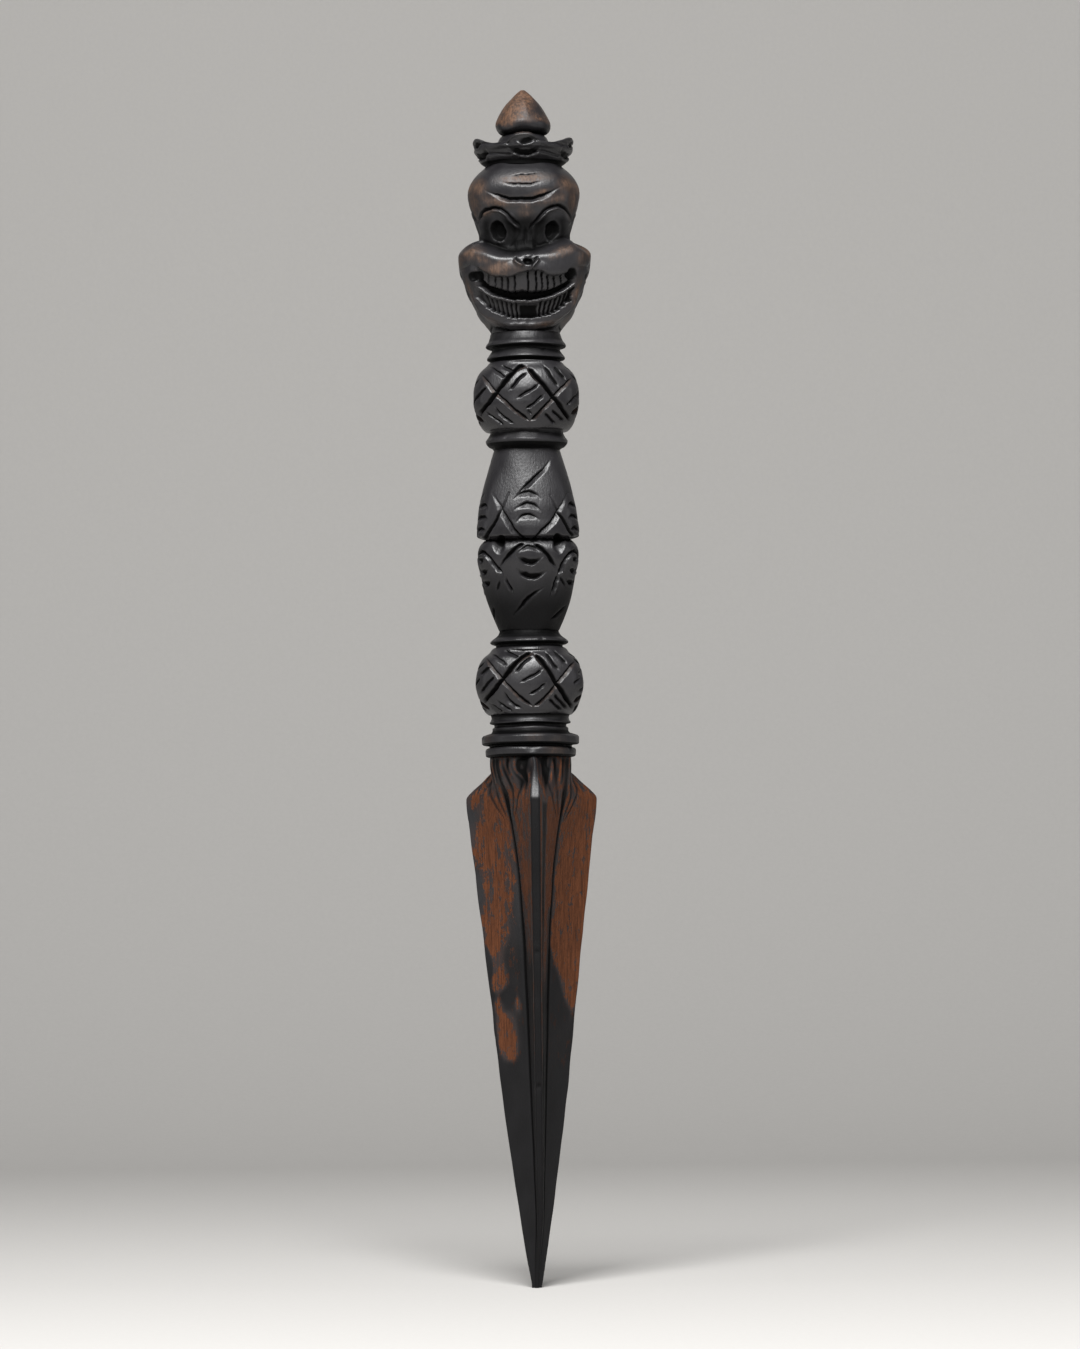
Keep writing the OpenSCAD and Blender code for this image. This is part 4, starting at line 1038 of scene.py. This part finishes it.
def build_blade():
    profile, lids = upright_profile(0.0, BLADE_TOP, 0.55, 1.3, NECK_R, 3)
    blank, psi, _, z = turn_blank("fluted_blade", profile, 324)
    # flange is 0 for the front edge's third, and 1 and -1 for the others. across_share runs from
    # its edge, 0, to a valley, 1, on the side that way tells
    flange = np.round(turned_to(psi, 0) / (TURN / 3))
    flange = np.where(flange > 1, -1, flange)
    t = (turned_to(psi, 0) - flange * TURN / 3) / (TURN / 6)
    t = (t + 3) % 6 - 3
    way = np.sign(t)
    across_share = np.abs(t)
    reach = through(REACH, z) + 0.1 * wobble(flange * 2.1 + psi * 0, z, 7.0, 3)
    reach = np.where(z > 1, reach, through(REACH, z))
    # The shoulder on the right stands out a little further than the others
    reach += 0.45 * (flange == 1) * bump(z - 141.0, 6.0)
    # The front edge slopes up as a bright wedge, right to the collar
    reach = np.where((flange == 0) & (z > WEDGE[0][0]), through(WEDGE, z), reach)
    valley = through(VALLEY, z)
    flat = np.minimum(through(EDGE_HALF, z), 0.45 * reach)
    s = np.clip((across_share - FLAT_SHARE) / (1 - FLAT_SHARE), 0, 1)
    # The broad faces are a little hollow, and meet in a sharp valley
    radial = np.where(across_share < FLAT_SHARE, reach, reach + (valley * 0.5 - reach) * s)
    tangent = np.where(across_share < FLAT_SHARE, flat * across_share / FLAT_SHARE,
                       flat + (valley * 0.866 - flat) * s ** 1.32)
    # Softened corners along the edge's flat
    radial -= 0.18 * bump(across_share - FLAT_SHARE, 0.03) * np.minimum(1, reach / 6)
    angle = flange * TURN / 3
    tangent = way * tangent
    x = radial * np.sin(angle) + tangent * np.cos(angle)
    y = -radial * np.cos(angle) + tangent * np.sin(angle)
    toward_front = (flange == 0) | ((flange == 1) & (way < 0)) | ((flange == -1) & (way > 0))
    share = np.where(flange == 0, 1.0, np.where(toward_front, s, 0.0))
    x += FRONT_SHIFT * share * smooth(z / 22) * smooth((154 - z) / 5)

    # The neck is round, with gouge cuts that fan out from the valleys
    rounding = smooth((z - 139.5) / 10.0) * smooth(s * 2.2 + (z - 146) / 4)
    rounding *= np.where(flange == 0, smooth((across_share - 0.1) / 0.25), 1)
    neck_x, neck_y = turned_places(psi, NECK_R * np.ones(psi.shape))
    x += (neck_x - x) * rounding
    y += (neck_y - y) * rounding
    from_valley = np.degrees(np.minimum(np.abs(turned_to(psi, TURN / 6)),
                                        np.minimum(np.abs(turned_to(psi, -TURN / 6)),
                                                   np.abs(turned_to(psi, TURN / 2)))))
    fan = from_valley / np.maximum(2.8 * (z - 130), 1)
    gouges = 0.5 + 0.5 * np.sin(TURN * 2.9 * fan + 0.35 * wobble(psi, z, 5.0, 9))
    strength = smooth((1.15 - fan) / 0.3) * smooth((z - 131) / 5) * smooth((151.5 - z) / 1.2)
    strength *= smooth(s * 9)
    # Two of them run down beside the wedge
    beside_wedge = bump(np.abs(x - FRONT_SHIFT) - 3.0, 0.9) * (y < 0) * step_at(z - 142, 6)
    # Open fibres show as fine streaks on the neck
    fibres = wobble(3 * psi, 0.3 * z, 3.0, 15) * smooth((z - 137) / 6)
    relief = -0.3 * gouges ** 1.5 * strength - 0.4 * beside_wedge + 0.05 * fibres
    relief += 0.05 * wobble(psi, z, 8.0, 5) * smooth(z / 10)
    # A dark line is scored along each valley
    scored = np.clip(1 - (1 - s) / 0.07, 0, 1) * smooth((148 - z) / 8) * smooth(z / 20)
    relief -= 0.3 * scored
    # Stain and painted shade darken the scored lines and the gouges' troughs
    stain_and_shade = 0.8 * scored + 0.42 * (gouges ** 2) * strength
    # Fine lines border the flat of each edge
    border = bump(across_share - FLAT_SHARE * 0.86, 0.02)
    relief -= 0.1 * border * smooth((140 - z) / 4)
    # A few nicks in the edges
    for centre, at, depth in ((-1, 118.0, 0.35), (-1, 71.0, 0.3), (1, 104.0, 0.3),
                              (1, 128.5, 0.35), (0, 96.0, 0.25), (-1, 133.0, 0.3),
                              (1, 47.0, 0.3), (0, 58.0, 0.25)):
        nick = bump(z - at, 0.7) * smooth(1 - across_share / 0.16)
        relief -= depth * nick * (flange == centre)
    dx, dy = np.roll(x, -1, 1) - np.roll(x, 1, 1), np.roll(y, -1, 1) - np.roll(y, 1, 1)
    length = np.maximum(np.hypot(dx, dy), 1e-6)
    x, y = x + relief * dy / length, y - relief * dx / length
    flat_lids(lids, x, y)
    share = lid_shares(psi.shape, lids)
    x, y = x * share, y * share
    worn = blade_wear(flange, way, s, z) + 0.25 * fibres
    stain_and_shade += 0.5 * smooth((0.62 - worn) / 0.5) * smooth((122 - z) / 34)
    stain_and_shade += 0.3 * smooth((z - 142) / 6)
    # Painted shadow in dark bands beside the front edge's worn border, and painted shade in the
    # gouges beside its wedge up on the neck
    beside = smooth((s - 0.13) / 0.08) * smooth((0.46 - s) / 0.12) * (flange == 0)
    stain_and_shade += beside * np.where(way > 0, 0.6, 0.15) * step_at(138 - z, 2)
    stain_and_shade += 0.75 * beside_wedge - 0.3 * fibres
    # The edge's flat is dark, with thin light lines along its two borders that are worn wood and
    # painted highlight
    flat_zone = smooth((FLAT_SHARE * 1.15 - across_share) / 0.02)
    worn *= 1 - flat_zone
    line = smooth((0.19 - s) / 0.1) * (across_share > FLAT_SHARE)
    line *= (flange == 0) * smooth((z - 40) / 50) * smooth((140 - z) / 3)
    worn = np.maximum(worn, line * np.where(way > 0, 0.85, 0.5))
    stain_and_shade = np.maximum(stain_and_shade * (1 - line), 0.6 * flat_zone * step_at(139.5 - z, 1.0))
    obj = set_shape(blank, x, y, z, relief, worn, np.clip(stain_and_shade, 0, 1), 4)
    finish_piece(obj, "blade", "flaked_blade_stain")


# CROWN AND FINIAL

CROWN_FOOT = 319.0
LEAF_DIP = 324.8
# How high the rim stands across the front leaf and across the others, from tip, 0, to dip, 1
FRONT_LEAF = [(0, 2.6), (0.2, 2.45), (0.36, 1.75), (0.5, 0.7), (0.62, 0.15), (0.8, 0), (1, 0)]
OTHER_LEAF = [(0, 2.1), (0.14, 1.85), (0.4, 1.15), (0.67, 0.55), (0.85, 0.17), (1, 0)]
CROWN_R = [(319.0, 10.7), (319.5, 10.8), (319.9, 11.3), (320.5, 12.1), (321.1, 12.6),
           (322.4, 13.1), (323.7, 14.0), (325.5, 14.2), (326.3, 14.5), (327.6, 14.5)]
# How much higher a place on the leaves is seen for each millimetre that it stands forward
LEAF_RISE = 0.142
# Inside the leaves: a groove, and the boss that carries the jewel
GROOVE_Z = 323.4
BOSS = [(5.0, 328.6), (6.0, 328.3), (6.7, 327.6), (7.2, 326.6), (7.7, 325.2), (8.2, 323.6)]


def build_crown():
    wall_rows, top_rows, in_rows, lids = 60, 6, 24, 5
    foot_r, wall = CROWN_R[0][1], 1.6
    # The rows are only counted here, and get their places below
    counts = lids + wall_rows + 1 + top_rows - 1 + in_rows + 1 + lids
    outline = [(0.0, CROWN_FOOT)] + [(10.0, CROWN_FOOT + 0.1 * k) for k in range(1, counts - 1)]
    outline += [(0.0, CROWN_FOOT + 0.1 * counts)]
    blank, psi, _, _ = turn_blank("leaf_crown", outline, 440)
    leaf = np.abs(turned_to(psi * 5, 0)) / (TURN / 2)
    front = np.abs(turned_to(psi, 0)) < TURN / 10
    rim = LEAF_DIP + np.where(front, through(FRONT_LEAF, leaf), through(OTHER_LEAF, leaf))
    rim += 0.12 * wobble(psi, psi * 0, 9.0, 4)
    last = lids + wall_rows
    zone = slice(lids, last + 1)
    radius, height, relief, stain_and_shade = (np.zeros(psi.shape) for _ in range(4))
    for k in range(lids):
        radius[k] = foot_r * k / lids
        height[k] = CROWN_FOOT
    share = np.linspace(0, 1, wall_rows + 1)[:, None]
    height[zone] = CROWN_FOOT + (rim[zone] - CROWN_FOOT) * share
    # The lower edge rises at the front and the back
    lifted = np.cos(psi[zone]) ** 2 * smooth((324.5 - height[zone]) / 2)
    radius[zone] = through(CROWN_R, height[zone] - lifted)
    outer = radius[last]
    for k in range(1, top_rows):
        radius[last + k] = outer - wall * k / top_rows
        height[last + k] = rim[0] + 0.2 * math.sin(math.pi * k / top_rows)
    start = last + top_rows
    boss_r, boss_z = np.array(BOSS).T
    # The groove inside the leaves and the foot of the boss are painted black, as shade and stain
    for k in range(in_rows + 1):
        t = k / in_rows
        if t < 0.3:
            inward = t / 0.3
            radius[start + k] = (outer - wall) * (1 - inward) + boss_r[-1] * inward
            height[start + k] = rim[0] - (rim[0] - GROOVE_Z) * smooth(inward)
            stain_and_shade[start + k] = 0.95 * smooth(inward * 1.5)
        else:
            up = 1 - (t - 0.3) / 0.7
            radius[start + k] = boss_r[0] + (boss_r[-1] - boss_r[0]) * math.sin(0.25 * TURN * up)
            height[start + k] = np.interp(radius[start + k], boss_r, boss_z)
            stain_and_shade[start + k] = 0.9 * smooth((up - 0.8) / 0.2)
    for k in range(lids):
        radius[start + in_rows + 1 + k] = boss_r[0] * (lids - 1 - k) / lids
        height[start + in_rows + 1 + k] = boss_z[0]
    # Two smiling cuts on the front of each leaf, and soft notches where leaves meet
    for centre in range(5):
        local = turned_to(psi[zone], centre * TURN / 5)
        pick = np.abs(local) < TURN / 10 + 0.06
        forward = radius[zone][pick] * np.cos(local[pick])
        seen = height[zone][pick] + forward * LEAF_RISE
        side = Carving(radius[zone][pick] * np.sin(local[pick]), seen, seed=centre + 3)
        side.cut([(-1.8, 327.4), (-1.0, 326.8), (0.1, 326.4), (1.9, 326.7), (3.4, 328.0)],
                 0.7, 1.8, 0.9, 0.35)
        side.ridge([(-1.8, 327.0), (-1.0, 326.3), (0.1, 325.9), (1.9, 326.2), (3.4, 327.4)],
                   0.4, 0.45)
        side.cut([(-4.2, 325.5), (-2.7, 323.9), (0.4, 323.2), (3.0, 323.5), (5.0, 325.5)],
                 0.9, 1.7, 1.1, 0.3)
        side.ridge([(-4.6, 324.6), (-2.8, 323.2), (0.4, 322.5), (3.2, 322.8), (5.4, 324.6)],
                   0.55, 0.5)
        for grid, values in ((relief, side.raised - side.sunk), (stain_and_shade, side.stain_and_shade)):
            part = np.zeros(local.shape)
            part[pick] = values
            grid[zone] += part * smooth((TURN / 10 + 0.03 - np.abs(local)) / 0.06)
    for level in (322.0, 324.9):
        notch = bump(height[zone] - level - 0.4 * np.sin(5 * psi[zone]), 0.35)
        relief[zone] -= 0.5 * notch * smooth((leaf[zone] - 0.2) / 0.3)
    # A thin bead runs along the front leaf's rim
    bead = bump(height[zone] - rim[zone] + 0.55, 0.35) * front[zone]
    relief[zone] += 0.4 * bead * smooth((1 - leaf[zone]) / 0.3)
    relief[zone] += 0.08 * wobble(psi[zone], height[zone], 6.0, 8)
    # Painted shadow in the undercut at the crown's foot
    stain_and_shade[zone] = np.maximum(stain_and_shade[zone], 0.95 * step_at(320.5 - height[zone], 0.4))
    radius[zone] += relief[zone]
    worn = 0.4 * smooth((height - 326.2) / 1.5) * (radius > 11)
    x, y = turned_places(psi, radius)
    finish_piece(set_shape(blank, x, y, height, relief, worn, stain_and_shade, 5), "crown")


JEWEL = [(4.9, 322.2), (4.4, 323.4), (4.3, 326.8), (4.6, 328.0), (6.0, 328.5), (7.0, 329.0),
         (7.7, 329.8), (8.0, 330.8), (7.9, 331.8), (7.35, 333.1), (6.6, 334.5), (5.7, 336.0),
         (4.7, 337.4), (3.6, 338.6), (2.4, 339.8), (1.4, 340.7), (0.6, 341.3)]
JEWEL_RIM = 330.2


def build_finial():
    side = [tuple(p) for p in softened(JEWEL, 0.2, 2, 3)]
    rows = [(0, 322.2), (2.5, 322.2)] + side + [(0, 341.4)]
    blank, psi, radius, z = turn_blank("jewel_knob", rows, 200)
    # The rim is cut by hand, so it waves up and down
    wave = 0.35 * np.sin(3 * psi + 0.8) + 0.22 * np.sin(5 * psi + 2.0)
    z_moved = z + wave * bump(z - JEWEL_RIM, 1.7)
    uneven = wobble(psi, z, 8.0, 12)
    facet = 0.22 * np.abs(np.sin(3.5 * psi + 0.12 * z)) * smooth((z - 331.5) / 3)
    relief = (0.12 * uneven - facet) * smooth(radius / 3) * smooth((341.2 - z) / 4)
    x, y = turned_places(psi, np.where(radius > 2.6, radius + relief, radius))
    worn = 0.68 * smooth((z - JEWEL_RIM - 0.6 * uneven) / 2.4) + 0.12 * np.sin(psi * 2 + 2.2)
    # Patches where the stain is left
    for angle, height, across, up, less in (
            (0.75, 334.6, 0.5, 2.6, 0.45), (0.05, 333.2, 0.4, 1.6, 0.3),
            (1.3, 337.0, 0.4, 2.0, 0.3), (0.3, 338.4, 0.4, 1.2, 0.2)):
        worn -= less * np.exp(-((turned_to(psi, angle) / across) ** 2 + ((z - height) / up) ** 2))
    # Painted shade and stain under the rim, down the peg
    stain_and_shade = 0.9 * smooth((329.6 - z) / 1.2)
    obj = set_shape(blank, x, y, z_moved, relief, np.clip(worn, 0, 1.2), stain_and_shade, 4)
    finish_piece(obj, "finial", "rubbed_knob_wood")


# STAGE

def lay_paper(scene):
    """Matt paper on the floor that bends up into a wall behind, in metres."""
    half_width, front, bend, bend_r, top = 2.0, -2.2, 0.9, 0.5, 2.4
    points = [(-half_width, front, 0.0), (-half_width, bend, 0.0)]
    points += [(-half_width, bend + bend_r * math.sin(math.radians(a)),
                bend_r - bend_r * math.cos(math.radians(a))) for a in range(9, 91, 9)]
    points.append((-half_width, bend + bend_r, top))
    bm = bmesh.new()
    verts = [bm.verts.new(p) for p in points]
    edges = [bm.edges.new(pair) for pair in zip(verts, verts[1:])]
    swept = bmesh.ops.extrude_edge_only(bm, edges=edges)
    moved = [g for g in swept["geom"] if isinstance(g, bmesh.types.BMVert)]
    bmesh.ops.translate(bm, verts=moved, vec=(2 * half_width, 0, 0))
    bmesh.ops.recalc_face_normals(bm, faces=bm.faces)
    mesh = bpy.data.meshes.new("studio_paper")
    bm.to_mesh(mesh)
    bm.free()
    if mesh.polygons[0].normal.z < 0:
        mesh.flip_normals()
    mesh.shade_smooth()
    paper = bpy.data.objects.new("studio_paper", mesh)
    scene.collection.objects.link(paper)
    material = bpy.data.materials.new("matt_studio_paper")
    material.use_nodes = True
    tree = material.node_tree
    shader = tree.nodes["Principled BSDF"]
    colour = tuple(scene.phurba_finish.floor_colour)
    place = add(tree, "ShaderNodeTexCoord").outputs["Object"]
    # Matt paper with a faint tooth, drawn 2 mm wide so that it shows
    tooth = add(tree, "ShaderNodeTexNoise", {"Scale": 500.0, "Detail": 2.0},
                {"Vector": place}).outputs["Fac"]
    shade = add(tree, "ShaderNodeMapRange", {"To Min": 0.97, "To Max": 1.03},
                {"Value": tooth}).outputs["Result"]
    tint = add(tree, "ShaderNodeVectorMath", {0: colour}, {"Scale": shade}, operation="SCALE")
    tree.links.new(tint.outputs["Vector"], shader.inputs["Base Color"])
    shader.inputs["Roughness"].default_value = 0.9
    mesh.materials.append(material)


def set_lights(scene):
    """Three softboxes, one high in front and a weak one on each side, in a dim white room."""
    world = bpy.data.worlds.new("studio_air")
    world.use_nodes = True
    background = world.node_tree.nodes["Background"]
    background.inputs["Color"].default_value = (1, 1, 1, 1)
    background.inputs["Strength"].default_value = 0.08
    scene.world = world
    aim, softbox_size = (0, 0, 0.2), 0.6
    for name, place, power in (("softbox_key", (-0.08, -0.95, 1.25), 40.0),
                               ("softbox_left", (-1.2, -0.4, 0.5), 1.6),
                               ("softbox_right", (1.2, -0.4, 0.5), 1.6)):
        lamp = bpy.data.lights.new(name, "AREA")
        lamp.shape = "SQUARE"
        lamp.size = softbox_size
        lamp.energy = power
        light = bpy.data.objects.new(name, lamp)
        scene.collection.objects.link(light)
        light.location = place
        away = np.array(place) - np.array(aim)
        flat = math.hypot(away[0], away[1])
        light.rotation_euler = (math.atan2(flat, away[2]), 0,
                                math.atan2(away[1], away[0]) + math.pi / 2)


def set_camera(scene):
    """Camera that stands low and level, with its lens shifted up, rolled by under a degree."""
    # shown is the height of what it sees at the object, in millimetres
    shown, shifted, sideways, roll = 384.5, 77.8, 2.03, math.radians(-0.69)
    sensor = 24.0
    data = bpy.data.cameras.new("view")
    data.sensor_fit = "VERTICAL"
    data.sensor_height = sensor
    data.lens = sensor * VIEW_AWAY / shown
    data.shift_y = shifted / shown
    data.clip_end = 20.0
    camera = bpy.data.objects.new("view", data)
    scene.collection.objects.link(camera)
    camera.location = (sideways * MM, -VIEW_AWAY * MM, VIEW_HEIGHT * MM)
    turned = Matrix.Rotation(math.pi / 2, 3, "X") @ Matrix.Rotation(roll, 3, "Z")
    camera.rotation_euler = turned.to_euler("XYZ")
    scene.camera = camera


# SETTINGS

class PhurbaSizes(bpy.types.PropertyGroup):
    """Depths of the carving"""
    knot_cut: FloatProperty(name="Knot cuts", description="Depth of the knots' crossing cuts",
                            default=0.0012, min=0.0, max=0.002, unit="LENGTH")
    grip_cut: FloatProperty(name="Grip cuts", description="Depth of the cuts on the grip",
                            default=0.001, min=0.0, max=0.002, unit="LENGTH")
    furrow_depth: FloatProperty(name="Furrows", description="Depth of the lines of the face",
                                default=0.0009, min=0.0, max=0.0015, unit="LENGTH")
    mouth_gap_depth: FloatProperty(name="Mouth gap",
                                   description="Depth of the gap between the rows of teeth",
                                   default=0.0032, min=0.001, max=0.004, unit="LENGTH")


class PhurbaFinish(bpy.types.PropertyGroup):
    """Colours and grain of the wood, and the colour of the stage"""
    stain_colour: FloatVectorProperty(name="Stain", description="Black stain of the carving",
                                      subtype="COLOR", default=linear("#1a191b")[:3],
                                      min=0.0, max=1.0)
    worn_colour: FloatVectorProperty(name="Worn wood", description="Wood under the stain",
                                     subtype="COLOR", default=linear("#5c351f")[:3],
                                     min=0.0, max=1.0)
    handled_colour: FloatVectorProperty(name="Handled wood",
                                        description="Wood where hands have rubbed the stain",
                                        subtype="COLOR", default=linear("#564337")[:3],
                                        min=0.0, max=1.0)
    # Black of the stain in the cuts, also used for painted shade
    groove_and_shade_colour: FloatVectorProperty(name="Grooves", description="Stain left in the cuts",
                                       subtype="COLOR", default=linear("#040404")[:3],
                                       min=0.0, max=1.0)
    floor_colour: FloatVectorProperty(name="Floor", description="Paper under and behind",
                                      subtype="COLOR", default=linear("#c4c2bf")[:3],
                                      min=0.0, max=1.0)
    fibre_width: FloatProperty(name="Fibre width", description="Width of a drawn wood fibre",
                               default=0.0005, min=0.0002, max=0.003, unit="LENGTH")
    flake_size: FloatProperty(name="Flake size", description="Width of a flake of stain",
                              default=0.0022, min=0.0005, max=0.01, unit="LENGTH")
    relief_depth: FloatProperty(name="Grain depth", description="Depth of the fine grain",
                                default=0.00012, min=0.0, max=0.0005, unit="LENGTH")


# OPERATORS

class PHURBA_OT_blade(bpy.types.Operator):
    """Carve the three-edged blade"""
    bl_idname = "phurba.blade"
    bl_label = "Blade"

    def execute(self, context):
        build_blade()
        return {"FINISHED"}


class PHURBA_OT_collars(bpy.types.Operator):
    """Turn the four collars between the carved sections"""
    bl_idname = "phurba.collars"
    bl_label = "Collars"

    def execute(self, context):
        for seed, (name, node, columns, uneven, outline, chips, rubs) in enumerate(RINGS, 21):
            ring = turned_ring(name, outline, columns, seed, uneven, chips, rubs)
            finish_piece(ring, node)
        return {"FINISHED"}


class PHURBA_OT_knots(bpy.types.Operator):
    """Carve the two knots with their diamonds of crossing cuts"""
    bl_idname = "phurba.knots"
    bl_label = "Knots"

    def execute(self, context):
        for name, foot, top, widths, carve, node, seed in (
                ("upper_diamonds", 244.1, 263.5, UPPER_KNOT_W, upper_knot_cuts, "upper_knot", 31),
                ("lower_diamonds", 163.3, 182.2, LOWER_KNOT_W, lower_knot_cuts, "lower_knot", 32)):
            knot = carved_section(name, foot, top, 0.2, 470, widths, carve, 4, seed=seed)
            finish_piece(knot, node)
        return {"FINISHED"}


class PHURBA_OT_grip(bpy.types.Operator):
    """Carve the two halves of the hand grip"""
    bl_idname = "phurba.grip"
    bl_label = "Grip"

    def execute(self, context):
        # The grip's two halves share one swelling, from its foot and over its height
        swelling = (187.0, 52.0)
        for name, foot, top, widths, carve, corner_carve, node, seed in (
                ("upper_grip", 212.6, 238.8, UPPER_GRIP_W, upper_grip_cuts,
                 upper_grip_corner_cuts, "grip_upper", 33),
                ("lower_grip", 187.2, 212.6, LOWER_GRIP_W, lower_grip_cuts,
                 lower_grip_corner_cuts, "grip_lower", 34)):
            half = carved_section(name, foot, top, 0.22, 420, widths, carve, 4, swelling,
                                  corner_carve, seed=seed)
            finish_piece(half, node)
        return {"FINISHED"}


class PHURBA_OT_head(bpy.types.Operator):
    """Carve the three-faced head"""
    bl_idname = "phurba.head"
    bl_label = "Head"

    def execute(self, context):
        # The section's swelling runs on a little above the head's top, under the crown
        foot, top, swelling = 271.8, 320.0, (271.8, 48.6)
        head = carved_section("three_faces", foot, top, 0.25, 460, HEAD_W, face, 5, swelling,
                              seed=35, uneven=0.08, first_forms=cheek_roll, in_profile=0.25)
        finish_piece(head, "head")
        return {"FINISHED"}


class PHURBA_OT_crown(bpy.types.Operator):
    """Carve the crown of five leaves and its jewel"""
    bl_idname = "phurba.crown"
    bl_label = "Crown and jewel"

    def execute(self, context):
        build_crown()
        build_finial()
        return {"FINISHED"}


class PHURBA_OT_stage(bpy.types.Operator):
    """Set the paper, the lights and the camera"""
    bl_idname = "phurba.stage"
    bl_label = "Stage"

    def execute(self, context):
        context.scene.view_settings.view_transform = "Standard"
        lay_paper(context.scene)
        set_lights(context.scene)
        set_camera(context.scene)
        return {"FINISHED"}


class PHURBA_PT_panel(bpy.types.Panel):
    """Sizes, finish and steps of the phurba"""
    bl_idname = "PHURBA_PT_panel"
    bl_label = "Carved phurba"
    bl_space_type = "VIEW_3D"
    bl_region_type = "UI"
    bl_category = "Phurba"

    def draw(self, context):
        layout = self.layout
        for group in (context.scene.phurba_sizes, context.scene.phurba_finish):
            for name in group.bl_rna.properties.keys():
                if name not in ("rna_type", "name"):
                    layout.prop(group, name)
        for step in STEPS:
            layout.operator(step.bl_idname)


STEPS = (PHURBA_OT_blade, PHURBA_OT_collars, PHURBA_OT_knots, PHURBA_OT_grip, PHURBA_OT_head,
         PHURBA_OT_crown, PHURBA_OT_stage)
CLASSES = (PhurbaSizes, PhurbaFinish) + STEPS + (PHURBA_PT_panel,)


def register():
    for cls in CLASSES:
        bpy.utils.register_class(cls)
    bpy.types.Scene.phurba_sizes = PointerProperty(type=PhurbaSizes)
    bpy.types.Scene.phurba_finish = PointerProperty(type=PhurbaFinish)


def unregister():
    del bpy.types.Scene.phurba_sizes
    del bpy.types.Scene.phurba_finish
    for cls in reversed(CLASSES):
        bpy.utils.unregister_class(cls)


def main():
    register()
    for step in ("blade", "collars", "knots", "grip", "head", "crown", "stage"):
        getattr(bpy.ops.phurba, step)()


if __name__ == "__main__":
    main()
